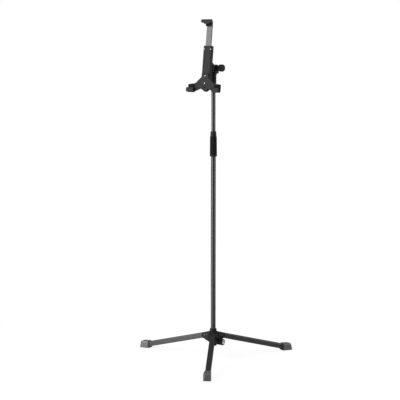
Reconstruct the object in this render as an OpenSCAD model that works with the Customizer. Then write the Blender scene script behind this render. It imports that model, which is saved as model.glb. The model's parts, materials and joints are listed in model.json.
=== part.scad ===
// Adjustable tablet floor stand: a folding three-leg base, a telescopic pole with a twist
// clutch, a tilting and turning head, and a holder with two lower hooks and a sliding jaw.
// The origin is on the floor under the pole. +Z is up, and the holder faces -Y.

/* [Base] */
// Distance from the pole axis to the tip of a foot
leg_reach = 347; // [280:1:420]
// Slope of the legs below level, in degrees
leg_slope = 15; // [12:0.5:18]
// Side of the square leg tube
leg_size = 20; // [17:0.5:23]
// Wall of the leg tube
leg_wall = 1.5; // [1:0.1:2.5]
// Outside corner radius of the leg tube
leg_corner_r = 3; // [2.6:0.1:4]
// Length of a rubber foot cap
foot_cap_len = 40; // [32:1:50]
// Width of a rubber foot cap at its toe
foot_w = 31; // [28:0.5:35]
// Width of a rubber foot cap at its mouth
foot_mouth_w = 26; // [23:0.5:30]
// Height of a rubber foot cap at its mouth
foot_h = 29.5; // [27:0.5:33]
// Height of a rubber foot cap where its toe begins
foot_toe_h = 27; // [22:0.5:28.5]
// Lean of the toe of a foot cap
foot_toe_lean = 4.5; // [3:0.5:9]
// Height of the leg line at the middle of a foot cap
foot_line_h = 11; // [10:0.5:14]
// Length of the collar between leg tube and foot cap, on the leg line
foot_collar_len = 5.5; // [4.5:0.5:10]
// Width of the shadow groove between a foot collar and its cap
foot_groove = 3.2; // [2:0.2:5]

/* [Hub] */
// Wall of the hub barrel round the pole
hub_wall = 3.8; // [3:0.1:6]
// Depth of the hub below the point where the leg lines meet
hub_below = 47.5; // [44:0.5:60]
// Height of the hub shoulder above that point
hub_above = 9; // [7:0.5:13]
// Step of the shoulder outside the barrel
hub_shoulder_step = 3.5; // [2:0.5:5]
// Height of the collar ring on the hub
hub_collar_h = 10.5; // [8:0.5:14]
// Floor of the hub socket under the pole
hub_floor = 4; // [3:0.5:6]
// Thickness of a leg cheek
cheek_t = 4; // [3:0.1:6]
// Reach of a cheek past the leg pivot
cheek_past_pivot = 14; // [11:0.5:20]
// Radius of a leg pivot pin
pivot_pin_r = 3; // [2.5:0.1:3.5]
// Radius of a leg stop pin
stop_pin_r = 2.5; // [2:0.1:2.8]
// Radius of the clamp boss
boss_r = 12; // [11:0.5:13]
// Length of the clamp boss outside the barrel
boss_len = 17.5; // [15:0.5:22]
// Drop of the clamp boss below the point where the leg lines meet
boss_drop = 29.5; // [27:0.5:32]
// Radius of the hub clamp knob
hub_knob_r = 12.5; // [11:0.5:14]
// Length of the hub clamp knob
hub_knob_len = 14; // [11:0.5:20]

/* [Pole] */
// Outside diameter of the lower tube
lower_tube_d = 19; // [18:0.5:22]
// Wall of the lower tube
lower_tube_wall = 1.2; // [0.9:0.1:1.6]
// Length of the lower tube
lower_tube_len = 785; // [600:5:900]
// Wall of the upper tube
upper_tube_wall = 1; // [0.8:0.1:1.4]
// Length of the upper tube
upper_tube_len = 560; // [480:5:600]
// Length of upper tube that stands out of the clutch
pole_out = 213; // [120:1:240]

/* [Clutch] */
// Overlap of the clutch on the lower tube
clutch_seat = 56; // [45:1:70]
// Height of the ring under the grip
clutch_ring_h = 5.3; // [4:0.1:8]
// Length of the rubber grip
grip_len = 70.7; // [60:0.1:90]
// Length of the tapered nose above the grip
nose_len = 19; // [16:0.5:24]
// Wall of the clutch base round the lower tube
clutch_base_wall = 1; // [0.8:0.1:1.6]
// Wall of the turning sleeve
clutch_sleeve_wall = 1.1; // [0.9:0.1:1.6]
// Rubber thickness at the top of the grip
grip_top_t = 0.95; // [0.8:0.05:1.6]
// Rubber thickness at the foot of the grip
grip_foot_t = 1.75; // [1:0.05:2.5]

/* [Head] */
// Tilt of the holder back from upright, in degrees
tilt = 7; // [0:0.5:15]
// Wall of the fork socket round the upper tube
fork_wall = 3; // [2.5:0.1:4]
// Length of the fork socket
fork_socket_len = 38; // [30:1:44]
// Height of the tilt axle above the top of the fork socket
fork_rise = 21; // [19:0.5:26]
// Thickness of a fork ear
ear_t = 7; // [5:0.5:9]
// Radius of a fork ear round the axle
ear_r = 13; // [11:0.5:15]
// Width of the tilt block between the friction washers
block_w = 15.4; // [13:0.1:18]
// Radius of the tilt axle
axle_r = 4; // [3.5:0.1:4.5]
// Distance from the tilt axle to the front face of the tilt block
block_reach = 28; // [26:0.5:34]
// Radius of the turning flange
flange_r = 20; // [17:0.5:24]
// Radius of the tilt knob
tilt_knob_r = 13.5; // [11:0.5:16]
// Length of the tilt knob without its neck
tilt_knob_len = 18; // [14:0.5:22]
// Length of the neck of the tilt knob
tilt_neck_len = 9.8; // [6:0.1:12]

/* [Holder] */
// Width of the spine
spine_w = 34; // [31:0.5:40]
// Height of the spine above the turning axis
spine_up = 78; // [72:1:90]
// Thickness of the back wall of the spine
spine_back_t = 7; // [6.5:0.1:9]
// Thickness of the spine cover
cover_t = 4; // [3:0.5:5]
// Width of the slide rail
rail_w = 24; // [18:0.5:25]
// Thickness of the slide rail
rail_t = 5.4; // [4.5:0.1:7]
// Height of the space between the lower hooks and the jaw
device_h = 251; // [220:1:290]
// Height of the turning axis above the seat of the lower hooks
seat_drop = 87.2; // [80:0.2:100]
// Depth from the turning flange to the rests behind the device
rest_depth = 29; // [27:0.5:34]
// Clear depth for the device between the rests and the lips
device_t = 8; // [6:0.5:12]
// Distance of the hooks from the centre line
hook_u = 57; // [48:1:70]
// Width of a hook
hook_w = 32; // [24:1:40]
// Height of a hook lip above its seat
hook_lip_h = 7; // [5:0.5:12]
// Width of the jaw
jaw_w = 50; // [40:1:60]
// Rise of the jaw above the device
jaw_rise = 10.8; // [9:0.2:16]
// Width of the middle tongue of the jaw lip
jaw_tongue_w = 24; // [16:1:30]
// Depth of that tongue below the top of the device
jaw_tongue_drop = 6.2; // [4:0.2:10]
// Thickness of the rubber pads
pad_t = 2; // [1.5:0.1:3]
// Thickness of the lips
lip_t = 3; // [2.5:0.1:5]

/* [Hidden] */
$fn = 64;

// Clearances
fit = 0.05;          // pieces of one body, pushed together
run = 0.06;          // radial, pin or screw in its bore
slide = 0.3;         // sliding and turning walls
face = 0.1;          // flat faces that rub
over = 1;            // extra length of a cut

// Colours
black_plastic = "#2b2b2d";
black_rubber = "#1f1f20";
grey_rubber = "#595959";
black_coat = "#38383a";
bare_steel = "#b9bbbd";
brass = "#c2a15a";
grey_acetal = "#8a8a88";

// Leg and foot layout
leg_left = 180;
leg_front = -60;
leg_rear = 60;
leg_azimuths = [leg_left, leg_front, leg_rear];
foot_centre = leg_reach - foot_cap_len / 2;
function leg_line(r) = foot_line_h + (foot_centre - r) * tan(leg_slope);
foot_cap_start = leg_reach - foot_cap_len;
foot_collar_end = foot_cap_start - foot_groove;
foot_collar_start = foot_collar_end - foot_collar_len;
foot_floor_gap = 0.8;
foot_spigot_r = 6;
foot_spigot_len = 18;
foot_plug_len = 16;
foot_neck_in = 2.2;
foot_neck_round = 5;
foot_top_round = 5;
foot_side_round = 7;
foot_toe_round = 3;
foot_corner_round = 6;
foot_roof_slope = atan((foot_h - foot_toe_h) / (foot_cap_len - foot_toe_lean - foot_top_round));

// Hub layout
hub_line = leg_line(0);
hub_bottom = hub_line - hub_below;
hub_top = hub_line + hub_above;
lower_r = lower_tube_d / 2;
bore_r = lower_r + slide;
barrel_r = bore_r + hub_wall;
shoulder_r = barrel_r + hub_shoulder_step;
shoulder_h = 7;
shoulder_chamfer = 2;
collar_step = 0.3;
collar_r = barrel_r - collar_step;
collar_chamfer = 1.5;
collar_spigot_h = 6;
collar_spigot_wall = 1.6;
tongue_len = 13;
tongue_gap = 1.4;
pivot_r = shoulder_r + tongue_gap + tongue_len * cos(leg_slope);
pivot_z = leg_line(pivot_r);
stop_back = 11.4;
leg_end_r = 8.2;
cheek_in = leg_size / 2 + slide;
cheek_out = cheek_in + cheek_t;
cheek_lap = 2;
cheek_root = cheek_in * tan(30) - cheek_lap;
cheek_knee = pivot_r + 4;
cheek_knee_drop = 2.5;
cheek_end_drop = 4;
pin_head_r = 4.2;
pin_head_t = 0.9;

// Legs, measured along their own line from the pivot
leg_tube_end = (foot_collar_start - pivot_r) / cos(leg_slope) - face;
leg_plug_len = 25;

// Hub clamp, along +X
boss_z = hub_line - boss_drop;
boss_end = barrel_r + boss_len;
pad_r = 5;
pad_len = 4;
pad_start = lower_r + slide;
hub_screw_r = 4;
insert_r = 6.5;
hub_insert_len = 10;
hub_knob_gap = 3;
hub_knob_start = boss_end + hub_knob_gap;
knob_cap_t = 1.5;
knob_cap_r = 8;
knob_screw_depth = 9;
hub_neck_r = 7.5;
hub_flute_r = 2;
flutes = 10;
flute_out = 0.55;     // share of a flute radius that its centre lies outside the knob

// Pole layout
plug_flange = 2;
lower_bottom = hub_bottom + hub_floor + plug_flange;
lower_top = lower_bottom + lower_tube_len;
lower_in_r = lower_r - lower_tube_wall;
upper_r = lower_in_r - slide;
upper_in_r = upper_r - upper_tube_wall;
plug_len = 18;
glide_len = 14;

// Clutch layout
clutch_bottom = lower_top - clutch_seat;
clutch_base_r = lower_r + fit + clutch_base_wall;
sleeve_in_r = clutch_base_r + slide;
sleeve_r = sleeve_in_r + clutch_sleeve_wall;
sleeve_bottom = clutch_bottom + clutch_ring_h + face;
grip_top = sleeve_bottom + grip_len;
clutch_top = grip_top + nose_len;
ring_r = sleeve_r + grip_foot_t;
nose_taper = 1;
nose_r = sleeve_r - nose_taper;
nose_lip = 5;
collet_flange = 6;
collet_gap = 2;
collet_top = clutch_top - nose_lip - collet_gap;
collet_wall = 1.4;
collet_r = upper_r + run + collet_wall;
collet_slot = 2;

// Head layout
upper_top = clutch_top + pole_out;
tube_insertion = 32;
socket_top = upper_top - tube_insertion + fork_socket_len;
socket_bottom = socket_top - fork_socket_len;
tilt_z = socket_top + fork_rise;
socket_r = upper_r + fit + fork_wall;
washer_t = 1;
ear_in = block_w / 2 + washer_t + 2 * face;
ear_out = ear_in + ear_t;
tilt_washer_t = 1.2;
tilt_knob_start = ear_out + 2 * face + tilt_washer_t;
tilt_neck_r = 8;
tilt_flute_r = 2.2;
knob_end_wall = 4;
bolt_tip_gap = 1;
bolt_head_t = 5.3;
bolt_head_af = 13;
block_inset = 0.8;
block_r = ear_r - block_inset;
washer_inset = 1.5;
web_gap = 1.2;
fork_cone_h = 10;
flange_t = 6;
block_neck_h = 20;
turn_washer_t = 1.2;
turn_washer_inset = 1;
turn_insert_r = 5;
turn_insert_n = axle_r + 5;
turn_screw_r = 3;
turn_head_r = 5.8;
turn_head_t = 3.6;
set_screw_r = 2.5;
set_screw_z = socket_bottom + 12;

// Holder layout, measured from the tilt axle: u sideways, n out towards the device, v up
spine_n = block_reach + turn_washer_t + 2 * face;
spine_boss_t = 4;
back_n = spine_n + spine_boss_t;
channel_n = back_n + spine_back_t;
turn_head_gap = 0.4;
turn_head_n = channel_n - turn_head_t - turn_head_gap;
cover_n = channel_n + rail_t + 2 * slide;
cradle_n = cover_n + cover_t;
cradle_t = 4;
rest_n = block_reach + rest_depth;
lip_n = rest_n + device_t;
front_n = lip_n + lip_t;
seat_v = -seat_drop;
device_top_v = seat_v + device_h;
spine_side_v = seat_v + 3.7;
spine_tip_v = seat_v - 7.6;
channel_floor_v = seat_v + 8;
hook_floor_v = seat_v - pad_t;
hook_floor_t = 8.5;
hook_bottom_v = hook_floor_v - hook_floor_t;
hook_chamfer = 4;
arm_h = 22;
arm_rise = 4;
cradle_hub_w = 30;
cradle_hub_top_v = seat_v + 62;
cradle_neck_v = cradle_hub_top_v - 14;
rest_pad_w = 24;
rest_pad_h = 19;
rest_pad_v = seat_v + 10.5;
seat_pad_inset = 2;
pad_round = 3;
jaw_roof_v = device_top_v + pad_t;
jaw_top_v = device_top_v + jaw_rise;
jaw_back_w = 24;
jaw_back_h = 13;
jaw_round = 5;
jaw_lip_v = device_top_v - 2;
jaw_lap = 4;
jaw_tongue_round = 2.5;
jaw_screw_v = jaw_top_v - 13;
jaw_pad_inset = 3;
jaw_rest_pad_w = 20;
jaw_rest_pad_h = 11;
rail_bottom_v = 8;
rail_top_v = jaw_top_v - 5;
lock_v = 58;
lock_screw_r = 3;
lock_insert_r = 5;
lock_knob_r = 10;
lock_knob_len = 11;
lock_knob_gap = 1.6;
lock_groove_d = 1.5;
lock_flute_r = 1.8;
lock_end_wall = 3;
lock_knob_n = back_n - lock_knob_gap - lock_knob_len;
lock_tip_n = channel_n + slide - face;
jaw_down = 68;
jaw_up = 40;
screw_r = 1.5;
screw_head_r = 2.8;
screw_head_t = 1.6;
screw_len = 9;
cover_screw_u = spine_w / 2 - 3;
cover_screw_vs = [-40, spine_up - 12];
cradle_screw_vs = [cradle_hub_top_v - 10, cradle_hub_top_v - 38];
cradle_screw_len = cover_t + cradle_t - screw_head_t - face;

// Shared shapes

// Normal of the line that touches two circles, on the right of the way from one to the other
function touch(from, from_r, to, to_r) =
    let (way = (to - from) / norm(to - from), lean = (from_r - to_r) / norm(to - from))
    lean * way + sqrt(1 - lean * lean) * [way.y, -way.x];

module rounded_square(w, h, r) {
    square([w - 2 * r, h], center = true);
    square([w, h - 2 * r], center = true);
    for (x = [-1, 1], y = [-1, 1])
        translate([x * (w / 2 - r), y * (h / 2 - r)]) circle(r);
}

module tube(r_out, r_in, h) {
    difference() {
        cylinder(r = r_out, h = h);
        translate([0, 0, -over]) cylinder(r = r_in, h = h + 2 * over);
    }
}

// Places a leg piece: x runs down the leg from its pivot, z is square to the leg
module leg_frame(azimuth) {
    rotate([0, 0, azimuth]) translate([pivot_r, 0, pivot_z]) rotate([0, leg_slope, 0]) children();
}

// Places a clamp piece whose own z runs out along +X
module along_x(x, z) {
    translate([x, 0, z]) rotate([0, 90, 0]) children();
}

// Places a head piece: x is u, -y is n and z is v
module head_frame() {
    translate([0, 0, tilt_z]) rotate([-tilt, 0, 0]) children();
}

// Extrudes an outline of u and v from one depth to another
module plate(n_start, n_end) {
    translate([0, -n_start, 0]) rotate([90, 0, 0]) linear_extrude(n_end - n_start) children();
}

// Places a round head piece whose own z runs out along n
module along_n(u, n, v) {
    translate([u, -n, v]) rotate([90, 0, 0]) children();
}

// Round knob with finger flutes, standing on z = 0
module fluted_knob(r, h, flute_r) {
    difference() {
        cylinder(r = r, h = h);
        for (i = [0 : flutes - 1])
            rotate([0, 0, (i + 0.5) * 360 / flutes])
                translate([r + flute_r * flute_out, 0, -over]) cylinder(r = flute_r, h = h + 2 * over);
    }
}

// Base

module cheek_outline() {
    r_end = pivot_r + cheek_past_pivot;
    half = leg_size / 2 / cos(leg_slope);
    crest_z = hub_top - shoulder_chamfer;
    crest_r = (hub_line + half - crest_z) / tan(leg_slope);
    polygon([[cheek_root, crest_z], [crest_r, crest_z], [r_end, leg_line(r_end) + half],
        [r_end, leg_line(r_end) - cheek_end_drop],
        [cheek_knee, leg_line(cheek_knee) - half - cheek_knee_drop], [cheek_root, boss_z - boss_r / 2]]);
}

module hub_body() {
    color(black_plastic) difference() {
        union() {
            translate([0, 0, hub_bottom]) cylinder(r = barrel_r, h = hub_top - hub_bottom);
            translate([0, 0, hub_top - shoulder_h])
                cylinder(r = shoulder_r, h = shoulder_h - shoulder_chamfer);
            translate([0, 0, hub_top - shoulder_chamfer])
                cylinder(r1 = shoulder_r, r2 = shoulder_r - shoulder_chamfer, h = shoulder_chamfer);
            for (azimuth = leg_azimuths, side = [-1, 1])
                rotate([0, 0, azimuth]) translate([0, side * (cheek_in + cheek_t / 2), 0])
                    rotate([90, 0, 0]) linear_extrude(cheek_t, center = true) cheek_outline();
            along_x(0, boss_z) cylinder(r = boss_r, h = boss_end);
        }
        translate([0, 0, hub_bottom + hub_floor]) cylinder(r = bore_r, h = hub_below + hub_above);
        translate([0, 0, hub_top - collar_spigot_h])
            cylinder(r = bore_r + collar_spigot_wall + fit, h = collar_spigot_h + over);
        along_x(0, boss_z) cylinder(r = pad_r + slide, h = boss_end - hub_insert_len);
        along_x(boss_end - hub_insert_len, boss_z) cylinder(r = insert_r + fit, h = hub_insert_len + over);
        for (azimuth = leg_azimuths) {
            leg_frame(azimuth) rotate([90, 0, 0])
                cylinder(r = pivot_pin_r + fit, h = 2 * cheek_out + 2 * over, center = true);
            leg_frame(azimuth) translate([-stop_back, 0, 0]) rotate([90, 0, 0])
                cylinder(r = stop_pin_r + fit, h = 2 * cheek_out + 2 * over, center = true);
        }
    }
}

module hub_collar() {
    color(black_plastic) translate([0, 0, hub_top]) {
        difference() {
            union() {
                cylinder(r = collar_r, h = hub_collar_h - collar_chamfer);
                translate([0, 0, hub_collar_h - collar_chamfer])
                    cylinder(r1 = collar_r, r2 = collar_r - collar_chamfer, h = collar_chamfer);
                translate([0, 0, -collar_spigot_h + face])
                    cylinder(r = bore_r + collar_spigot_wall, h = collar_spigot_h);
            }
            translate([0, 0, -collar_spigot_h])
                cylinder(r = bore_r, h = collar_spigot_h + hub_collar_h + over);
        }
    }
}

module headed_pins(x, r) {
    for (azimuth = leg_azimuths)
        leg_frame(azimuth) translate([x, 0, 0]) rotate([90, 0, 0]) {
            cylinder(r = r, h = 2 * cheek_out, center = true);
            for (side = [-1, 1])
                translate([0, 0, side * (cheek_out + pin_head_t / 2)])
                    cylinder(r = r + pin_head_r - pivot_pin_r, h = pin_head_t, center = true);
        }
}

module leg_pivot_pins() {
    color(black_coat) headed_pins(0, pivot_pin_r);
}

module leg_stop_pins() {
    color(black_coat) headed_pins(-stop_back, stop_pin_r);
}

// Side view of a leg: round nose at the pivot, and a tongue that rests on the stop pin
module leg_side_view() {
    circle(leg_end_r);
    translate([0, -leg_size / 2]) square([leg_tube_end, leg_size]);
    translate([-tongue_len, stop_pin_r + face])
        square([tongue_len + over, leg_size / 2 - stop_pin_r - face]);
}

module pivot_bore() {
    rotate([90, 0, 0]) cylinder(r = pivot_pin_r + run, h = leg_size + 2 * over, center = true);
}

module leg_tube(azimuth) {
    color(black_coat) leg_frame(azimuth) difference() {
        intersection() {
            translate([-tongue_len, 0, 0]) rotate([0, 90, 0])
                linear_extrude(leg_tube_end + tongue_len) difference() {
                    rounded_square(leg_size, leg_size, leg_corner_r);
                    rounded_square(leg_size - 2 * leg_wall, leg_size - 2 * leg_wall,
                        leg_corner_r - leg_wall);
                }
            rotate([90, 0, 0]) linear_extrude(leg_size + over, center = true) leg_side_view();
        }
        pivot_bore();
    }
}

module leg_plug(azimuth) {
    side = leg_size - 2 * leg_wall - 2 * fit;
    color(black_plastic) leg_frame(azimuth) difference() {
        intersection() {
            translate([-tongue_len, 0, 0]) rotate([0, 90, 0]) linear_extrude(leg_plug_len + tongue_len)
                rounded_square(side, side, leg_corner_r - leg_wall);
            rotate([90, 0, 0]) linear_extrude(leg_size + over, center = true) leg_side_view();
        }
        pivot_bore();
    }
}

module foot_collar(azimuth) {
    half = leg_size / 2;
    inner = [foot_collar_start, leg_line(foot_collar_start)];
    across = half * [sin(leg_slope), cos(leg_slope)];
    plug = leg_size - 2 * leg_wall - 2 * fit;
    color(black_plastic) {
        rotate([0, 0, azimuth]) {
            intersection() {
                rotate([90, 0, 0]) linear_extrude(foot_w + over, center = true)
                    polygon([inner - across, [foot_collar_end, foot_floor_gap],
                        [foot_collar_end, leg_line(foot_collar_end) + half / cos(leg_slope)],
                        inner + across]);
                linear_extrude(hub_line)
                    polygon([[inner.x - across.x, -half], [foot_collar_end, -foot_mouth_w / 2],
                        [foot_collar_end, foot_mouth_w / 2], [inner.x - across.x, half]]);
            }
            along_x(foot_collar_end, (foot_floor_gap + foot_h) / 2) linear_extrude(foot_groove - face)
                rounded_square(foot_h - foot_floor_gap - 2 * foot_neck_in,
                    foot_mouth_w - 2 * foot_neck_in, foot_neck_round);
            along_x(foot_collar_end, foot_line_h) cylinder(r = foot_spigot_r, h = foot_spigot_len);
        }
        leg_frame(azimuth) translate([leg_tube_end - foot_plug_len, 0, 0]) rotate([0, 90, 0])
            linear_extrude(foot_plug_len + over) rounded_square(plug, plug, leg_corner_r - leg_wall);
    }
}

// Side view of a foot cap: a flat sole, a toe that leans back and a roof that falls to the toe
module foot_side_view() {
    toe = [leg_reach - foot_toe_round, foot_toe_round];
    top = [leg_reach - foot_toe_lean - foot_top_round, foot_toe_h - foot_top_round];
    mouth = [foot_cap_start, foot_h];
    front = touch(toe, foot_toe_round, top, foot_top_round);
    roof = touch(top, foot_top_round, mouth, 0);
    polygon([[foot_cap_start, 0], [toe.x, 0], toe + foot_toe_round * front,
        top + foot_top_round * front, top + foot_top_round * roof, mouth]);
    translate(toe) circle(foot_toe_round);
    translate(top) circle(foot_top_round);
}

// End view of a foot cap below its roof, rounded along both upper edges
module foot_end_view() {
    translate([-foot_w / 2, -2 * foot_h]) square([foot_w, 2 * foot_h - foot_side_round]);
    translate([foot_side_round - foot_w / 2, -2 * foot_h])
        square([foot_w - 2 * foot_side_round, 2 * foot_h]);
    for (side = [-1, 1])
        translate([side * (foot_w / 2 - foot_side_round), -foot_side_round]) circle(foot_side_round);
}

// Plan of a foot cap: it widens from the mouth to two round corners at the toe
module foot_plan() {
    corner = [leg_reach - foot_corner_round, foot_w / 2 - foot_corner_round];
    mouth = [foot_cap_start, foot_mouth_w / 2];
    flank = corner + foot_corner_round * touch(corner, foot_corner_round, mouth, 0);
    polygon([[mouth.x, -mouth.y], [flank.x, -flank.y], [leg_reach, -corner.y], [leg_reach, corner.y],
        flank, mouth]);
    for (side = [-1, 1])
        translate([corner.x, side * corner.y]) circle(foot_corner_round);
}

module foot_cap(azimuth) {
    color(grey_rubber) rotate([0, 0, azimuth]) difference() {
        intersection() {
            rotate([90, 0, 0]) linear_extrude(foot_w + over, center = true) foot_side_view();
            translate([foot_cap_start, 0, foot_h]) rotate([0, foot_roof_slope, 0])
                translate([-foot_h, 0, 0]) rotate([90, 0, 90])
                    linear_extrude(foot_cap_len + 2 * foot_h) foot_end_view();
            linear_extrude(foot_h) foot_plan();
        }
        along_x(foot_cap_start - over, foot_line_h)
            cylinder(r = foot_spigot_r + fit, h = foot_spigot_len - foot_groove + over + face);
    }
}

// Hub clamp

module hub_pad() {
    color(brass) along_x(pad_start, boss_z) cylinder(r = pad_r, h = pad_len);
}

module hub_insert() {
    color(brass) along_x(boss_end - hub_insert_len, boss_z)
        tube(insert_r, hub_screw_r + run, hub_insert_len);
}

module hub_screw() {
    screw_start = pad_start + pad_len;
    color(bare_steel) along_x(screw_start, boss_z)
        cylinder(r = hub_screw_r, h = hub_knob_start + knob_screw_depth - screw_start);
}

module hub_knob() {
    color(black_plastic) along_x(hub_knob_start, boss_z) difference() {
        union() {
            fluted_knob(hub_knob_r, hub_knob_len, hub_flute_r);
            translate([0, 0, -hub_knob_gap / 2]) cylinder(r = hub_neck_r, h = hub_knob_gap);
        }
        translate([0, 0, -hub_knob_gap])
            cylinder(r = hub_screw_r + fit, h = hub_knob_gap + knob_screw_depth);
        translate([0, 0, hub_knob_len - knob_cap_t])
            cylinder(r = knob_cap_r + fit, h = knob_cap_t + over);
    }
}

module hub_knob_cap() {
    color(bare_steel) along_x(hub_knob_start + hub_knob_len - knob_cap_t, boss_z)
        cylinder(r = knob_cap_r, h = knob_cap_t);
}

// Pole

module lower_tube() {
    color(black_coat) translate([0, 0, lower_bottom]) tube(lower_r, lower_in_r, lower_tube_len);
}

module lower_plug() {
    color(black_plastic) translate([0, 0, lower_bottom]) {
        translate([0, 0, -plug_flange]) cylinder(r = lower_r, h = plug_flange);
        cylinder(r = lower_in_r - fit, h = plug_len);
    }
}

module clutch_base() {
    color(black_plastic) translate([0, 0, clutch_bottom]) difference() {
        union() {
            cylinder(r = ring_r, h = clutch_ring_h);
            cylinder(r = clutch_base_r, h = clutch_seat);
        }
        translate([0, 0, -over]) cylinder(r = lower_r + fit, h = clutch_seat + 2 * over);
    }
}

module clutch_collet() {
    rise = collet_top - lower_top;
    color(grey_acetal) translate([0, 0, lower_top]) difference() {
        union() {
            cylinder(r = clutch_base_r, h = collet_flange);
            cylinder(r = collet_r, h = rise);
        }
        translate([0, 0, -over]) cylinder(r = upper_r + run, h = rise + 2 * over);
        for (turn = [0, 90])
            rotate([0, 0, turn]) translate([-clutch_base_r - over, -collet_slot / 2, collet_flange + over])
                cube([2 * (clutch_base_r + over), collet_slot, rise]);
    }
}

module clutch_sleeve() {
    color(black_coat) difference() {
        union() {
            translate([0, 0, sleeve_bottom]) cylinder(r = sleeve_r, h = grip_len);
            translate([0, 0, grip_top]) cylinder(r1 = sleeve_r, r2 = nose_r, h = nose_len);
        }
        translate([0, 0, sleeve_bottom - over])
            cylinder(r = sleeve_in_r, h = lower_top + collet_flange + collet_gap - sleeve_bottom + over);
        translate([0, 0, lower_top])
            cylinder(r = collet_r + slide, h = clutch_top - nose_lip - lower_top);
        translate([0, 0, lower_top]) cylinder(r = upper_r + slide, h = clutch_top - lower_top + over);
    }
}

module clutch_grip() {
    color(black_rubber) translate([0, 0, sleeve_bottom]) difference() {
        cylinder(r1 = sleeve_r + grip_foot_t, r2 = sleeve_r + grip_top_t, h = grip_len);
        translate([0, 0, -over]) cylinder(r = sleeve_r + fit, h = grip_len + 2 * over);
    }
}

module tube_glide() {
    color(black_plastic) translate([0, 0, upper_top - upper_tube_len - face]) {
        translate([0, 0, -glide_len]) cylinder(r = lower_in_r - run, h = glide_len);
        cylinder(r = upper_in_r - run, h = glide_len);
    }
}

module upper_tube() {
    color(black_coat) translate([0, 0, upper_top - upper_tube_len])
        tube(upper_r, upper_in_r, upper_tube_len);
}

// Head

module ear_outline() {
    circle(ear_r);
    translate([-ear_r, -fork_rise]) square([2 * ear_r, fork_rise]);
}

module head_fork() {
    web_top = fork_rise - block_r - web_gap;
    color(black_plastic) difference() {
        union() {
            translate([0, 0, socket_bottom]) cylinder(r = socket_r, h = fork_socket_len);
            for (side = [-1, 1])
                translate([side * (ear_in + ear_t / 2), 0, tilt_z]) rotate([90, 0, 90])
                    linear_extrude(ear_t, center = true) ear_outline();
            translate([-ear_out, -ear_r, socket_top]) cube([2 * ear_out, 2 * ear_r, web_top]);
            translate([0, 0, socket_top - fork_cone_h]) cylinder(r1 = socket_r, r2 = ear_r, h = fork_cone_h);
        }
        translate([0, 0, socket_bottom - over]) cylinder(r = upper_r + fit, h = tube_insertion + over);
        along_x(-ear_out - over, tilt_z) cylinder(r = axle_r + fit, h = 2 * (ear_out + over));
        translate([0, 0, set_screw_z]) rotate([-90, 0, 0])
            cylinder(r = set_screw_r + fit, h = socket_r + over);
    }
}

module fork_set_screw() {
    color(bare_steel) translate([0, upper_r, set_screw_z]) rotate([-90, 0, 0])
        cylinder(r = set_screw_r, h = socket_r - upper_r);
}

module tilt_bolt() {
    head_r = bolt_head_af / 2 / cos(30);
    bolt_back = knob_end_wall + bolt_tip_gap;
    color(bare_steel) {
        along_x(-ear_out - bolt_head_t, tilt_z) cylinder(r = head_r, h = bolt_head_t, $fn = 6);
        along_x(-ear_out, tilt_z)
            cylinder(r = axle_r, h = ear_out + tilt_knob_start + tilt_neck_len + tilt_knob_len - bolt_back);
    }
}

module tilt_friction_washers() {
    color(grey_acetal) for (side = [-1, 1])
        along_x(side * (block_w / 2 + face + washer_t / 2) - washer_t / 2, tilt_z)
            tube(block_r - washer_inset, axle_r + run, washer_t);
}

module tilt_washer() {
    color(bare_steel) along_x(ear_out + face, tilt_z) tube(tilt_neck_r, axle_r + run, tilt_washer_t);
}

module tilt_knob() {
    color(black_plastic) along_x(tilt_knob_start, tilt_z) difference() {
        union() {
            cylinder(r = tilt_neck_r, h = tilt_neck_len);
            translate([0, 0, tilt_neck_len]) fluted_knob(tilt_knob_r, tilt_knob_len, tilt_flute_r);
        }
        translate([0, 0, -over])
            cylinder(r = axle_r + run, h = over + tilt_neck_len + tilt_knob_len - knob_end_wall);
    }
}

module tilt_block() {
    color(black_plastic) head_frame() difference() {
        union() {
            rotate([0, 90, 0]) cylinder(r = block_r, h = block_w, center = true);
            translate([-block_w / 2, -block_reach + flange_t / 2, -block_neck_h / 2])
                cube([block_w, block_reach - flange_t / 2, block_neck_h]);
            along_n(0, block_reach - flange_t, 0) cylinder(r = flange_r, h = flange_t);
        }
        rotate([0, 90, 0]) cylinder(r = axle_r + run, h = block_w + 2 * over, center = true);
        along_n(0, turn_insert_n, 0) cylinder(r = turn_insert_r + fit, h = block_reach);
    }
}

module turn_insert() {
    color(brass) head_frame() along_n(0, turn_insert_n, 0)
        tube(turn_insert_r, turn_screw_r + fit, block_reach - turn_insert_n);
}

module turn_washer() {
    color(grey_acetal) head_frame() along_n(0, block_reach, 0)
        tube(flange_r - turn_washer_inset, turn_screw_r + fit, turn_washer_t);
}

module turn_screw() {
    color(bare_steel) head_frame() {
        along_n(0, turn_insert_n, 0) cylinder(r = turn_screw_r, h = turn_head_n - turn_insert_n);
        along_n(0, turn_head_n, 0) cylinder(r = turn_head_r, h = turn_head_t);
    }
}

// Holder

module spine_outline() {
    half = spine_w / 2;
    polygon([[-half, spine_up], [half, spine_up], [half, spine_side_v], [0, spine_tip_v],
        [-half, spine_side_v]]);
}

module cover_screw_places(n) {
    for (side = [-1, 1], v = cover_screw_vs)
        along_n(side * cover_screw_u, n, v) children();
}

module cradle_screw_places(n) {
    for (v = cradle_screw_vs)
        along_n(0, n, v) children();
}

module hook_screw_places(n) {
    for (side = [-1, 1], across = [-1, 1])
        along_n(side * hook_u + across * hook_w / 4, n, (hook_bottom_v + hook_floor_v) / 2) children();
}

// Screw with its head on z = 0 and its shank running down
module screw(length) {
    cylinder(r = screw_head_r, h = screw_head_t);
    translate([0, 0, -length]) cylinder(r = screw_r, h = length);
}

module screw_hole(length) {
    cylinder(r = screw_head_r + fit, h = screw_head_t + over);
    translate([0, 0, -length - face]) cylinder(r = screw_r + fit, h = length + over);
}

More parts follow.
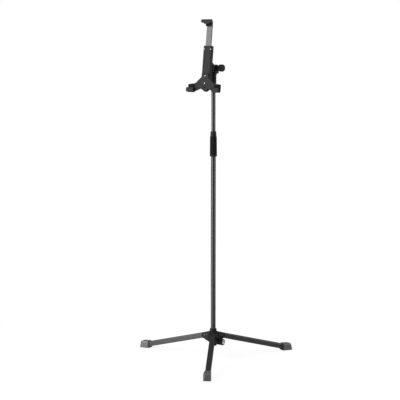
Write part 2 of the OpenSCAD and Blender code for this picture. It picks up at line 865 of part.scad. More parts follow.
module holder_spine() {
    color(black_plastic) head_frame() difference() {
        union() {
            plate(back_n, cover_n) spine_outline();
            along_n(0, spine_n, 0) cylinder(r = flange_r, h = spine_boss_t + over);
        }
        plate(channel_n, cover_n + over)
            translate([-rail_w / 2 - slide, channel_floor_v])
                square([rail_w + 2 * slide, spine_up - channel_floor_v + over]);
        along_n(0, spine_n - over, 0) cylinder(r = turn_screw_r + run, h = channel_n);
        along_n(0, turn_head_n - face, 0) cylinder(r = turn_head_r + slide, h = channel_n);
        along_n(0, back_n - over, lock_v) cylinder(r = lock_insert_r + fit, h = spine_back_t + 2 * over);
        cover_screw_places(cradle_n - screw_head_t) screw_hole(screw_len);
    }
}

module spine_cover() {
    color(black_plastic) head_frame() difference() {
        plate(cover_n, cradle_n) spine_outline();
        cover_screw_places(cradle_n - screw_head_t) screw_hole(screw_len);
        cradle_screw_places(cradle_n + cradle_t - screw_head_t) screw_hole(cradle_screw_len);
    }
}

module cradle_outline() {
    hook_out = hook_u + hook_w / 2;
    hook_in = hook_u - hook_w / 2;
    tab_v = hook_bottom_v + hook_chamfer;
    right = [[hook_in, tab_v], [hook_in + hook_chamfer, hook_bottom_v],
        [hook_out - hook_chamfer, hook_bottom_v], [hook_out, tab_v], [hook_out, hook_floor_v + arm_h],
        [hook_in, hook_floor_v + arm_h + arm_rise], [cradle_hub_w / 2, cradle_neck_v],
        [cradle_hub_w / 2, cradle_hub_top_v]];
    left = [for (i = [len(right) - 1 : -1 : 0]) [-right[i][0], right[i][1]]];
    polygon(concat([[0, hook_floor_v + arm_h / 2]], right, left));
}

module cradle() {
    color(black_plastic) head_frame() difference() {
        plate(cradle_n, cradle_n + cradle_t) cradle_outline();
        cradle_screw_places(cradle_n + cradle_t - screw_head_t) screw_hole(cradle_screw_len);
        hook_screw_places(cradle_n + screw_head_t) rotate([180, 0, 0]) screw_hole(screw_len);
    }
}

module hook_outline() {
    half = hook_w / 2;
    lip_v = seat_v + hook_lip_h;
    polygon([[-half, lip_v], [half, lip_v], [half, hook_bottom_v + hook_chamfer],
        [half - hook_chamfer, hook_bottom_v], [hook_chamfer - half, hook_bottom_v],
        [-half, hook_bottom_v + hook_chamfer]]);
}

module hook(side) {
    color(black_plastic) head_frame() difference() {
        translate([side * hook_u, 0, 0]) plate(cradle_n + cradle_t, front_n) hook_outline();
        translate([side * hook_u, 0, 0]) plate(cradle_n, lip_n)
            translate([-hook_w, hook_floor_v]) square([2 * hook_w, device_h]);
        hook_screw_places(cradle_n + screw_head_t) rotate([180, 0, 0]) screw_hole(screw_len);
    }
}

module holder_screws() {
    color(bare_steel) head_frame() {
        cover_screw_places(cradle_n - screw_head_t) screw(screw_len);
        cradle_screw_places(cradle_n + cradle_t - screw_head_t) screw(cradle_screw_len);
        hook_screw_places(cradle_n + screw_head_t) rotate([180, 0, 0]) screw(screw_len);
    }
}

module seat_pad(side) {
    color(black_rubber) head_frame() translate([side * hook_u, 0, 0])
        plate(cradle_n + cradle_t, lip_n) translate([seat_pad_inset - hook_w / 2, hook_floor_v])
            square([hook_w - 2 * seat_pad_inset, pad_t]);
}

module rest_pad(side) {
    color(black_rubber) head_frame() translate([side * hook_u, 0, 0])
        plate(cradle_n + cradle_t, rest_n) translate([0, rest_pad_v])
            rounded_square(rest_pad_w, rest_pad_h, pad_round);
}

module slide_rail() {
    groove_w = 2 * (lock_screw_r + slide);
    color(black_coat) head_frame() difference() {
        plate(channel_n + slide, channel_n + slide + rail_t)
            translate([-rail_w / 2, rail_bottom_v]) square([rail_w, rail_top_v - rail_bottom_v]);
        plate(channel_n, channel_n + slide + lock_groove_d)
            translate([-groove_w / 2, lock_v - jaw_up - groove_w / 2])
                square([groove_w, jaw_up + jaw_down + groove_w]);
        jaw_screw_places(channel_n + slide) rotate([180, 0, 0]) screw_hole(screw_len);
    }
}

module jaw_screw_places(n) {
    for (side = [-1, 1])
        along_n(side * rail_w / 4, n, jaw_screw_v) children();
}

module jaw_outline() {
    translate([0, (jaw_lip_v + jaw_top_v) / 2])
        rounded_square(jaw_w, jaw_top_v - jaw_lip_v, jaw_round);
    translate([0, device_top_v - jaw_tongue_drop / 2 + jaw_lap / 2])
        rounded_square(jaw_tongue_w, jaw_tongue_drop + jaw_lap, jaw_tongue_round);
}

// Plan of the jaw, less a margin: it narrows from the lip to the rail
module jaw_plan(margin) {
    half = jaw_w / 2 - margin;
    half_back = jaw_back_w / 2 - margin;
    head_frame() translate([0, 0, device_top_v - jaw_back_h - over])
        linear_extrude(jaw_back_h + jaw_rise + 2 * over)
            polygon([[-half_back, -channel_n], [half_back, -channel_n], [half_back, -cradle_n],
                [half, -lip_n], [half, -front_n], [-half, -front_n], [-half, -lip_n],
                [-half_back, -cradle_n]]);
}

module upper_jaw() {
    jaw_n = channel_n + slide + rail_t;
    color(black_plastic) intersection() {
        head_frame() difference() {
            union() {
                plate(jaw_n, front_n) jaw_outline();
                plate(jaw_n, cradle_n + cradle_t)
                    translate([-jaw_back_w / 2, device_top_v - jaw_back_h])
                        square([jaw_back_w, jaw_back_h + jaw_lap]);
            }
            plate(cradle_n + cradle_t, lip_n)
                translate([-jaw_w, jaw_roof_v - device_h]) square([2 * jaw_w, device_h]);
            jaw_screw_places(channel_n + slide) rotate([180, 0, 0]) screw_hole(screw_len);
        }
        jaw_plan(0);
    }
}

module jaw_screws() {
    color(bare_steel) head_frame() jaw_screw_places(channel_n + slide) rotate([180, 0, 0]) screw(screw_len);
}

module jaw_pad() {
    color(black_rubber) intersection() {
        head_frame() plate(cradle_n + cradle_t, lip_n)
            translate([-jaw_w / 2, device_top_v]) square([jaw_w, pad_t]);
        jaw_plan(jaw_pad_inset);
    }
}

module jaw_rest_pad() {
    color(black_rubber) head_frame() plate(cradle_n + cradle_t, rest_n)
        translate([0, device_top_v - jaw_back_h / 2])
            rounded_square(jaw_rest_pad_w, jaw_rest_pad_h, pad_round);
}

module rail_lock_insert() {
    color(brass) head_frame() along_n(0, back_n, lock_v)
        tube(lock_insert_r, lock_screw_r + run, spine_back_t);
}

module rail_lock_tip() {
    color(brass) head_frame() along_n(0, lock_tip_n, lock_v) cylinder(r = lock_screw_r, h = lock_groove_d);
}

module rail_lock_screw() {
    screw_n = lock_knob_n + lock_end_wall;
    color(bare_steel) head_frame() along_n(0, screw_n, lock_v)
        cylinder(r = lock_screw_r, h = lock_tip_n - screw_n);
}

module rail_lock_knob() {
    color(black_plastic) head_frame() along_n(0, lock_knob_n, lock_v) difference() {
        fluted_knob(lock_knob_r, lock_knob_len, lock_flute_r);
        translate([0, 0, lock_end_wall]) cylinder(r = lock_screw_r + fit, h = lock_knob_len);
    }
}

hub_body();
hub_collar();
hub_insert();
hub_pad();
hub_screw();
hub_knob();
hub_knob_cap();
leg_pivot_pins();
leg_stop_pins();
leg_tube(leg_left);  // leg_tube_left
leg_tube(leg_front);  // leg_tube_front
leg_tube(leg_rear);  // leg_tube_rear
leg_plug(leg_left);  // leg_plug_left
leg_plug(leg_front);  // leg_plug_front
leg_plug(leg_rear);  // leg_plug_rear
foot_collar(leg_left);  // foot_collar_left
foot_collar(leg_front);  // foot_collar_front
foot_collar(leg_rear);  // foot_collar_rear
foot_cap(leg_left);  // foot_cap_left
foot_cap(leg_front);  // foot_cap_front
foot_cap(leg_rear);  // foot_cap_rear
lower_tube();
lower_plug();
clutch_base();
clutch_collet();
clutch_sleeve();
clutch_grip();
tube_glide();
upper_tube();
head_fork();
fork_set_screw();
tilt_bolt();
tilt_friction_washers();
tilt_washer();
tilt_knob();
tilt_block();
turn_insert();
turn_washer();
turn_screw();
holder_spine();
spine_cover();
cradle();
hook(-1);  // hook_left
hook(1);  // hook_right
holder_screws();
seat_pad(-1);  // seat_pad_left
seat_pad(1);  // seat_pad_right
rest_pad(-1);  // rest_pad_left
rest_pad(1);  // rest_pad_right
slide_rail();
upper_jaw();
jaw_screws();
jaw_pad();
jaw_rest_pad();
rail_lock_insert();
rail_lock_tip();
rail_lock_screw();
rail_lock_knob();
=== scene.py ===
# %% [markdown]
# # Dressing a tablet floor stand
#
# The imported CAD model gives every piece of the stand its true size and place. This lesson loads it
# as a fixed frame and gives it the looks of the real thing: rounded mouldings, ribbed rubber and
# satin powder coat. A node whose shape is already right keeps its mesh and gets a finish. A node
# that is only a plain block is replaced by a new piece, modelled in the same place.

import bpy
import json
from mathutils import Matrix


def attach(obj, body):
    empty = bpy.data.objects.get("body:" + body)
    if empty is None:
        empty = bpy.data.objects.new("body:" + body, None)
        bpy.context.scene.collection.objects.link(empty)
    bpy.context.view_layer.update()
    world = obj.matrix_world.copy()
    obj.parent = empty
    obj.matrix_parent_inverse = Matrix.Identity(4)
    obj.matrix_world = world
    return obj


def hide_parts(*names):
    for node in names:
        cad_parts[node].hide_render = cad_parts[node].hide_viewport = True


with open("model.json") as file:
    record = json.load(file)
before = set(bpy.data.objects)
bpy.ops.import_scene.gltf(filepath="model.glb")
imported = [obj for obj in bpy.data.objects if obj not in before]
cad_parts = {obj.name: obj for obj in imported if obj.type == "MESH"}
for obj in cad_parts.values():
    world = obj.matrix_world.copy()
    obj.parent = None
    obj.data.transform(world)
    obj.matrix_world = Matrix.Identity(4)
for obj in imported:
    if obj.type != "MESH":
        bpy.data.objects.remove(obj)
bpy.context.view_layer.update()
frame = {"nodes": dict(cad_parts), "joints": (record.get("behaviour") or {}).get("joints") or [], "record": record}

import json
import math

import bmesh
import bpy
from mathutils import Matrix, Vector

MM = 0.001
bpy.context.scene.view_settings.view_transform = "Standard"

# %% [markdown]
# ## The camera
#
# The camera comes first, because every later choice is judged through it. The lower ends of the
# legs, the pole and the holder were lined up with the photograph, and that gave one place, one dip
# and one focal length. The focal length is kept in pixels of the 400 pixel image, since that is
# how it was measured.

# %% The camera
IMAGE_WIDTH = 400
FOCAL_PIXELS = 1254
VIEW_TURN = math.radians(34.31)
VIEW_DIP = math.radians(6.79)
CAMERA_PLACE = (2.644, -3.965, 1.186)
SENSOR_WIDTH = 36

bpy.ops.object.camera_add(location=CAMERA_PLACE, rotation=(math.pi / 2 - VIEW_DIP, 0, VIEW_TURN))
camera = bpy.context.object
camera.data.sensor_width = SENSOR_WIDTH
camera.data.lens = FOCAL_PIXELS / IMAGE_WIDTH * SENSOR_WIDTH
bpy.context.scene.camera = camera
to_right = Vector((math.cos(VIEW_TURN), math.sin(VIEW_TURN), 0))
to_camera = Vector((math.sin(VIEW_TURN), -math.cos(VIEW_TURN), 0))
print("lens", round(camera.data.lens, 1), "mm")

# %% [markdown]
# ## One function for nodes, one for colours
#
# A shader tree is easy to read when each node is one call: its kind, its options, its socket
# values and what feeds it. Colours are written as sRGB hex, the way they are picked from a picture,
# and turned to the linear values that the shader works with.


# %% Nodes and colours
def add_node(tree, kind, options=None, values=None, feeds=None):
    """Adds a node, sets its options and socket values, and links outputs of other nodes to it."""
    node = tree.nodes.new("ShaderNode" + kind)
    for name, option in (options or {}).items():
        setattr(node, name, option)
    for socket, value in (values or {}).items():
        node.inputs[socket].default_value = value
    for socket, output in (feeds or {}).items():
        tree.links.new(output, node.inputs[socket])
    return node


def hex_colour(code):
    """Turns an sRGB hex colour to linear red, green, blue and alpha."""
    shares = [int(code[i:i + 2], 16) / 255 for i in (1, 3, 5)]
    return [s / 12.92 if s <= 0.04045 else ((s + 0.055) / 1.055) ** 2.4 for s in shares] + [1]


# %% [markdown]
# ## The studio
#
# The stand was photographed against plain white, with a large soft box on the left, a smaller one
# on the right and a dark room behind the camera. That is why the round pole has a bright left
# side, a dark middle and a thin bright right rim. The white comes from the world, so that no lamp has
# to be turned up for it: the camera sees plain white, and reflections see a dimmer backdrop in a dark
# room, which keeps the black parts black.

# %% The world
WHITE = (1, 1, 1, 1)
AMBIENT = 0.3
DARK_ROOM = 0.10
BACKDROP_EDGE = 0.86
BACKDROP_MIDDLE = 0.99
MIRRORED_BACKDROP = 0.4

world = bpy.data.worlds.new("white_studio")
bpy.context.scene.world = world
world.use_nodes = True
tree = world.node_tree
tree.nodes.clear()
rays = add_node(tree, "LightPath")
direction = add_node(tree, "TexCoord")
towards_backdrop = add_node(
    tree, "VectorMath", {"operation": "DOT_PRODUCT"}, {1: -to_camera},
    {0: direction.outputs["Generated"]})
room = add_node(
    tree, "MapRange", {"interpolation_type": "SMOOTHSTEP"},
    {"From Min": BACKDROP_EDGE, "From Max": BACKDROP_MIDDLE, "To Min": DARK_ROOM,
     "To Max": MIRRORED_BACKDROP},
    {"Value": towards_backdrop.outputs["Value"]})
mirrored = add_node(
    tree, "Math", {"operation": "MAXIMUM"}, {},
    {0: rays.outputs["Is Glossy Ray"], 1: rays.outputs["Is Transmission Ray"]})
lighting = add_node(
    tree, "Mix", {"data_type": "FLOAT"}, {"A": AMBIENT},
    {"Factor": mirrored.outputs[0], "B": room.outputs["Result"]})
shown = add_node(
    tree, "Mix", {"data_type": "FLOAT"}, {"B": 1},
    {"Factor": rays.outputs["Is Camera Ray"], "A": lighting.outputs["Result"]})
backdrop = add_node(tree, "Background", {}, {"Color": WHITE}, {"Strength": shown.outputs["Result"]})
add_node(tree, "OutputWorld", {}, {}, {"Surface": backdrop.outputs[0]})
print("world nodes:", len(tree.nodes))

# %% The soft boxes
BOX_AIM = Vector((0, 0, 0.62))


def soft_box(name, sideways, forward, height, size, brightness):
    """A rectangular soft box that faces the stand. Its power follows from its area and brightness."""
    place = BOX_AIM + to_right * sideways + to_camera * forward + Vector((0, 0, height))
    turn = (place - BOX_AIM).to_track_quat("Z", "Y").to_euler()
    bpy.ops.object.light_add(type="AREA", location=place, rotation=turn)
    lamp = bpy.context.object
    lamp.name = name
    lamp.data.shape = "RECTANGLE"
    lamp.data.size, lamp.data.size_y = size
    lamp.data.energy = brightness * math.pi * size[0] * size[1]
    print(name, round(lamp.data.energy, 1), "W")


soft_box("left_box", sideways=-2.0, forward=0.95, height=0.45, size=(1.9, 2.4), brightness=4.4)
soft_box("right_box", sideways=2.15, forward=0.3, height=0.35, size=(1.5, 2.2), brightness=2.5)
soft_box("top_box", sideways=-0.3, forward=0.0, height=2.4, size=(1.6, 1.6), brightness=1.2)

# %% [markdown]
# The floor is a disc with a pale diffuse finish. Near the stand it keeps the soft shadow of the
# legs. Further out it fades to the same white as the world, so no edge shows. The camera sees
# mostly the white, and the light bounces off an ordinary pale floor. In reflections the floor has a
# painted reflection: painted white on the side of the large soft box and painted grey on the other,
# which is why the left leg looks lighter than the right one.

# %% The floor
FLOOR_RADIUS, FLOOR_SIDES = 1.7, 96
FADE_FROM, FADE_TO = 0.5, 1.1
PALE_FLOOR = hex_colour("#e6e6e6")
# Painted reflection: the floor as glossy rays see it, painted white on the soft box side and grey on the other.
PAINTED_REFLECTION_LEFT, PAINTED_REFLECTION_RIGHT = hex_colour("#ffffff"), hex_colour("#969696")
PAINTED_LIT_FROM, PAINTED_LIT_TO = 0.0, -0.3
SHADOW_SHARE = hex_colour("#7a7a7a")
SHADOWED_WHITE = 0.86

bpy.ops.object.select_all(action="DESELECT")
bpy.ops.mesh.primitive_circle_add(vertices=FLOOR_SIDES, radius=FLOOR_RADIUS, fill_type="NGON")
floor = bpy.context.object
floor.name = "floor"
paper = bpy.data.materials.new("white_paper_sweep")
paper.use_nodes = True
tree = paper.node_tree
tree.nodes.clear()
rays = add_node(tree, "LightPath")
place = add_node(tree, "TexCoord")
reach = add_node(tree, "VectorMath", {"operation": "LENGTH"}, {}, {0: place.outputs["Object"]})
far = add_node(
    tree, "MapRange", {"interpolation_type": "SMOOTHSTEP"}, {"From Min": FADE_FROM, "From Max": FADE_TO},
    {"Value": reach.outputs["Value"]})
pale = add_node(tree, "BsdfDiffuse", {}, {"Color": PALE_FLOOR})
sideways = add_node(
    tree, "VectorMath", {"operation": "DOT_PRODUCT"}, {1: to_right}, {0: place.outputs["Object"]})
painted_lit_side = add_node(
    tree, "MapRange", {"interpolation_type": "SMOOTHSTEP"}, {"From Min": PAINTED_LIT_FROM, "From Max": PAINTED_LIT_TO},
    {"Value": sideways.outputs["Value"]})
# Painted reflection: glossy rays see this tone, white towards the left soft box and grey towards the right.
painted_reflection_tone = add_node(
    tree, "Mix", {"data_type": "RGBA"}, {"A": PAINTED_REFLECTION_RIGHT, "B": PAINTED_REFLECTION_LEFT},
    {"Factor": painted_lit_side.outputs["Result"]})
mirrored = add_node(tree, "BsdfDiffuse", {}, {}, {"Color": painted_reflection_tone.outputs["Result"]})
shadow = add_node(tree, "BsdfDiffuse", {}, {"Color": SHADOW_SHARE})
glow = add_node(tree, "Emission", {}, {"Color": WHITE, "Strength": SHADOWED_WHITE})
white = add_node(tree, "Emission", {}, {"Color": WHITE, "Strength": 1})
near = add_node(tree, "AddShader", {}, {}, {0: shadow.outputs[0], 1: glow.outputs[0]})
seen = add_node(
    tree, "MixShader", {}, {}, {0: far.outputs["Result"], 1: near.outputs[0], 2: white.outputs[0]})
unseen = add_node(
    tree, "MixShader", {}, {},
    {0: rays.outputs["Is Glossy Ray"], 1: pale.outputs[0], 2: mirrored.outputs[0]})
surface = add_node(
    tree, "MixShader", {}, {}, {0: rays.outputs["Is Camera Ray"], 1: unseen.outputs[0], 2: seen.outputs[0]})
add_node(tree, "OutputMaterial", {}, {}, {"Surface": surface.outputs[0]})
floor.data.materials.append(paper)
print("floor radius", FLOOR_RADIUS, "m")

# %% [markdown]
# ## The finishes
#
# The stand is black all over, so its materials differ by gloss and grain, not by colour. Each one
# starts from a Principled shader with typical values, and gets a grain of a real size that drives
# both its roughness and a shallow bump, and a slow drift of colour. One function builds that common
# tree, because the finishes share it. What sets a finish apart is given in its own cell.

# %% The common tree of a finish
NOISE_LOW, NOISE_HIGH = 0.3, 0.7


def finish(name, dark, light, roughness, grain_mm, bump_mm, drift_mm=40, stretch=(1, 1, 1), **shader):
    """A material whose fine grain moves its roughness and bump, and whose colour drifts slowly."""
    material = bpy.data.materials.new(name)
    material.use_nodes = True
    tree = material.node_tree
    tree.nodes.clear()
    place = add_node(tree, "TexCoord")
    stretched = add_node(
        tree, "Mapping", {}, {"Scale": stretch}, {"Vector": place.outputs["Object"]})
    grain = add_node(
        tree, "TexNoise", {}, {"Scale": 1 / (grain_mm * MM), "Detail": 3, "Roughness": 0.55},
        {"Vector": stretched.outputs[0]})
    drift = add_node(
        tree, "TexNoise", {}, {"Scale": 1 / (drift_mm * MM), "Detail": 4},
        {"Vector": place.outputs["Object"]})
    colour = add_node(
        tree, "Mix", {"data_type": "RGBA"}, {"A": hex_colour(dark), "B": hex_colour(light)},
        {"Factor": drift.outputs[0]})
    gloss = add_node(
        tree, "MapRange", {},
        {"From Min": NOISE_LOW, "From Max": NOISE_HIGH, "To Min": roughness[0], "To Max": roughness[1]},
        {"Value": grain.outputs[0]})
    skin = add_node(
        tree, "Bump", {}, {"Strength": 1, "Distance": bump_mm * MM}, {"Height": grain.outputs[0]})
    surface = add_node(
        tree, "BsdfPrincipled", {}, shader,
        {"Base Color": colour.outputs["Result"], "Roughness": gloss.outputs["Result"],
         "Normal": skin.outputs[0]})
    add_node(tree, "OutputMaterial", {}, {}, {"Surface": surface.outputs[0]})
    print("finish:", name)
    return material


# %% [markdown]
# Powder coat is resin that is sprayed on steel as a dry powder and baked. It leaves a satin skin
# with a faint orange peel, about a millimetre from hump to hump.

# %% Powder-coated steel
powder_coat = finish(
    "satin_black_powder_coat", "#1d1d1f", "#232325", (0.36, 0.44), grain_mm=1.2, bump_mm=0.007,
    **{"Specular IOR Level": 1})

# %% [markdown]
# The mouldings are glass-filled nylon. The mould was etched, so the skin has a fine even grain and
# almost no gloss. The real grain is about 0.2 mm, and it is drawn at 0.7 mm so that it shows. The
# collars of the feet come out of a smoother mould, and shine like the legs.

# %% Moulded nylon
moulded_nylon = finish(
    "etched_black_nylon", "#1a1a1c", "#232325", (0.5, 0.66), grain_mm=0.7, bump_mm=0.035,
    **{"Specular IOR Level": 0.25})
smooth_nylon = finish(
    "smooth_black_nylon", "#1d1d1f", "#232325", (0.34, 0.44), grain_mm=0.9, bump_mm=0.01,
    **{"Specular IOR Level": 1})

# %% [markdown]
# The grip and the pads are black rubber. Rubber scatters more than it shines, and a little chalky
# bloom comes to its surface with age. The boots on the feet are a harder rubber, grey and smoother.

# %% Moulded rubber
soft_rubber = finish(
    "moulded_black_rubber", "#161617", "#202021", (0.6, 0.8), grain_mm=0.9, bump_mm=0.03,
    drift_mm=12, **{"Specular IOR Level": 0.1})
grey_rubber = finish(
    "moulded_grey_rubber", "#4e4e4f", "#5a5a5b", (0.3, 0.4), grain_mm=0.9, bump_mm=0.01, drift_mm=12,
    **{"Specular IOR Level": 1, "IOR": 1.6})

# %% [markdown]
# The screws are steel with a thin zinc plating, which is bright but never a mirror. The cap of the
# clamp knob is turned and plated, so it has fine rings round its own axis, and a clear lacquer on the
# plate dulls and spreads its shine. The threaded inserts are turned brass, and the glides and friction
# washers are natural grey acetal.

# %% Metals and acetal
zinc_steel = finish(
    "zinc_plated_steel", "#a9adb2", "#c3c6ca", (0.24, 0.4), grain_mm=0.8, bump_mm=0.008,
    drift_mm=6, Metallic=1)
bright_plate = finish(
    "bright_plated_steel", "#e2e3e4", "#f0f0f1", (0.34, 0.46), grain_mm=0.6, bump_mm=0.006,
    drift_mm=5, stretch=(1, 0.15, 0.15), Metallic=0.7)
turned_brass = finish(
    "turned_brass", "#a8873f", "#c2a158", (0.22, 0.36), grain_mm=0.5, bump_mm=0.006,
    drift_mm=6, Metallic=1)
grey_acetal = finish(
    "natural_grey_acetal", "#7d7d7a", "#8c8c89", (0.36, 0.48), grain_mm=0.8, bump_mm=0.01)
finish_of_slot = {
    "powder_coated_steel": powder_coat, "moulded_plastic": moulded_nylon, "rubber": soft_rubber,
    "grey_rubber": grey_rubber, "zinc_steel": zinc_steel, "chrome_cap": bright_plate,
    "brass": turned_brass, "acetal": grey_acetal}
print(len(finish_of_slot), "slots have a finish")

# %% [markdown]
# ## The bench
#
# Each new piece is modelled at a bench: a frame of its own, where one unit is a millimetre and the
# axes run along the piece. A matrix then carries it to its place in the model, in metres. The
# places come from the record, since a joint has a point and an axis, and from the corners of the
# CAD nodes, so nothing is fitted by eye.

# %% Benches and measures
joint = {each["name"]: each for each in frame["joints"]}
X, Y, Z = 0, 1, 2


def bench(place, x_axis, z_axis):
    """A bench whose origin and x and z axes are given in the frame of the model."""
    up = Vector(z_axis).normalized()
    side = up.cross(Vector(x_axis)).normalized()
    turn = Matrix((side.cross(up), side, up)).transposed().to_4x4()
    return Matrix.Translation(place) @ turn @ Matrix.Scale(MM, 4)


def measure(node, on_bench):
    """The lowest and highest corner of a CAD node on a bench, in millimetres."""
    back = on_bench.inverted()
    points = [back @ vertex.co for vertex in frame["nodes"][node].data.vertices]
    return [Vector([end(point[i] for point in points) for i in range(3)]) for end in (min, max)]


floor_bench = bench((0, 0, 0), (1, 0, 0), (0, 0, 1))
print("the lower tube reaches", round(measure("lower_tube", floor_bench)[1].z), "mm")

# %% [markdown]
# ## Working by selection
#
# Modelling by hand is mostly choosing faces or edges and then using one tool on them. A script has
# no mouse, so `pick` chooses by a test on place or direction. `shape_up` ends a spell in edit mode:
# it merges doubled points, turns all faces outwards and goes back to object mode. Places count as the
# same within `NEAR` millimetres, points merge within `DOUBLED`, and two directions agree when their
# cosine is above `PARALLEL`.

# %% Choosing and closing
NEAR, DOUBLED, PARALLEL = 0.01, 0.002, 0.999


def pick(kind, test):
    """In edit mode, selects only the vertices, edges or faces that pass a test."""
    bpy.ops.mesh.select_mode(type=kind)
    bpy.ops.mesh.select_all(action="DESELECT")
    mesh = bpy.context.edit_object.data
    shape = bmesh.from_edit_mesh(mesh)
    for part in {"VERT": shape.verts, "EDGE": shape.edges, "FACE": shape.faces}[kind]:
        part.select_set(test(part))
    shape.select_flush_mode()
    bmesh.update_edit_mesh(mesh)


def middle(part):
    """The mean of the corners of an edge or a face."""
    return sum((corner.co for corner in part.verts), Vector()) / len(part.verts)


def runs(edge, axis):
    """True where an edge runs along one axis of the bench."""
    return abs((edge.verts[1].co - edge.verts[0].co).normalized()[axis]) > PARALLEL


def take(piece):
    """Selects one piece alone and makes it the active one."""
    bpy.ops.object.select_all(action="DESELECT")
    piece.select_set(True)
    bpy.context.view_layer.objects.active = piece


def edit(piece):
    """Goes into edit mode on one piece, with all of it selected."""
    take(piece)
    bpy.ops.object.mode_set(mode="EDIT")
    bpy.ops.mesh.select_all(action="SELECT")


def scale(along_x, along_y):
    """Scales what is selected about the z axis of the bench."""
    bpy.ops.transform.resize(value=(along_x, along_y, 1), center_override=(0, 0, 0))


def extrude(move=(0, 0, 0)):
    """Extrudes what is selected, and moves it."""
    bpy.ops.mesh.extrude_region_move(TRANSFORM_OT_translate={"value": move})


def shape_up():
    """Merges doubled points, turns the faces outwards and leaves edit mode."""
    bpy.ops.mesh.select_all(action="SELECT")
    bpy.ops.mesh.remove_doubles(threshold=DOUBLED)
    bpy.ops.mesh.normals_make_consistent(inside=False)
    bpy.ops.object.mode_set(mode="OBJECT")
    return bpy.context.object


# %% [markdown]
# ## Ways to start a piece
#
# A block is a cube primitive at its size and place. A slab is an outline that is filled and
# extruded. A turned piece is a profile that is spun about an axis, and a rod is the plainest of
# these. A circle is left open in edit mode, to be shaped and extruded. Each is only a start. Modifiers
# then round its edges, or join it to and cut it by others.


# %% Blocks, slabs, turned pieces, rods and circles
def block(low, high):
    """A box between two corners of the bench."""
    bpy.ops.object.select_all(action="DESELECT")
    low, high = Vector(low), Vector(high)
    bpy.ops.mesh.primitive_cube_add(size=1, location=(low + high) / 2)
    bpy.context.object.scale = high - low
    bpy.ops.object.transform_apply(location=True, rotation=True, scale=True)
    return bpy.context.object


def draw(points):
    """Draws a line by extruding one point from place to place, and stays in edit mode."""
    bpy.ops.object.select_all(action="DESELECT")
    bpy.ops.mesh.primitive_plane_add(size=1)
    bpy.ops.object.mode_set(mode="EDIT")
    bpy.ops.mesh.select_mode(type="VERT")
    bpy.ops.mesh.merge(type="CENTER")
    bpy.ops.transform.translate(value=points[0])
    for here, there in zip(points, points[1:]):
        extrude(Vector(there) - Vector(here))
    bpy.ops.mesh.select_all(action="SELECT")


def slab(outline, start, end):
    """A closed outline of x and z, filled and extruded along y."""
    draw([(x, start, z) for x, z in outline + outline[:1]])
    bpy.ops.mesh.remove_doubles(threshold=DOUBLED)
    bpy.ops.mesh.edge_face_add()
    extrude((0, end - start, 0))
    return shape_up()


def turned(profile, steps=64):
    """A profile of radius and height, spun once round the z axis of the bench."""
    draw([(radius, 0, height) for radius, height in profile])
    bpy.ops.mesh.spin(steps=steps, angle=2 * math.pi, center=(0, 0, 0), axis=(0, 0, 1))
    return shape_up()


def rod(radius, bottom, top, steps=64):
    """A round bar along the z axis of the bench, between two heights."""
    return turned([(0, bottom), (radius, bottom), (radius, top), (0, top)], steps)


def circle(points, radius, height, fill="NGON", turn=0):
    """A circle of points round the z axis of the bench, in edit mode."""
    bpy.ops.object.select_all(action="DESELECT")
    bpy.ops.mesh.primitive_circle_add(vertices=points, radius=radius, fill_type=fill,
                                      location=(0, 0, height), rotation=(0, 0, turn))
    bpy.ops.object.transform_apply(location=True, rotation=True, scale=True)
    edit(bpy.context.object)
    return bpy.context.object


# %% [markdown]
# A modifier is applied as soon as it is set, so that each piece ends as a plain mesh. The Boolean
# tool joins and cuts, and its second piece is deleted afterwards.


# %% Repeating, rounding, joining and cutting
def apply(piece, kind, **settings):
    """Adds a modifier to a piece, sets it and applies it."""
    take(piece)
    modifier = piece.modifiers.new(kind.lower(), kind)
    for name, value in settings.items():
        setattr(modifier, name, value)
    bpy.ops.object.modifier_apply(modifier=modifier.name)


def repeat(piece, count, step):
    """Repeats a piece in a row, with one step from each to the next."""
    apply(piece, "ARRAY", count=count, use_relative_offset=False, use_constant_offset=True,
          constant_offset_displace=step)
    return piece


def soften(piece, width, segments=3, sharper_than=35):
    """Rounds every edge that is sharper than an angle in degrees."""
    apply(piece, "BEVEL", width=width, segments=segments, limit_method="ANGLE",
          angle_limit=math.radians(sharper_than))
    return piece


def round_off(piece, test, radius, segments=6):
    """Rounds only the edges that pass a test, with a larger radius."""
    edit(piece)
    pick("EDGE", test)
    bpy.ops.mesh.bevel(offset=radius, segments=segments, profile=0.5, affect="EDGES")
    return shape_up()


def combine(operation, piece, *others):
    """Joins other pieces to a piece, or cuts it by them, and deletes them."""
    for other in others:
        apply(piece, "BOOLEAN", operation=operation, object=other, solver="EXACT")
        bpy.data.objects.remove(other)
    return piece


# %% [markdown]
# A finished piece is settled: it is carried to its place, its transform is applied, it gets smooth
# shading with flat faces kept flat, and it takes over body, slot and finish of the CAD node that
# it stands for. What repeats is modelled once, and each copy is settled with a mesh of its own.

# %% Settling a piece
SMOOTH_BELOW = math.radians(38)
body_of_node = {
    node: body for body, nodes in frame["record"]["behaviour"]["bodies"].items() for node in nodes}
slot_of_node = {part["node"]: part["material_slot"] for part in frame["record"]["subparts"]}


def settle(piece, name, node, on_bench, coat=None):
    """Puts a finished piece in its place, where it stands for a CAD node and may have its own finish."""
    piece.name = name
    piece.matrix_world = on_bench
    take(piece)
    bpy.ops.object.transform_apply(location=True, rotation=True, scale=True)
    bpy.ops.object.shade_smooth_by_angle(angle=SMOOTH_BELOW)
    apply(piece, "WEIGHTED_NORMAL", keep_sharp=True)
    piece.data.materials.append(coat or finish_of_slot[slot_of_node[node]])
    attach(piece, body_of_node[node])
    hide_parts(node)
    print(name, "stands for", node, "with", len(piece.data.polygons), "faces")


def duplicate(piece):
    """A copy of a piece, with a mesh of its own."""
    take(piece)
    bpy.ops.object.duplicate()
    return bpy.context.object


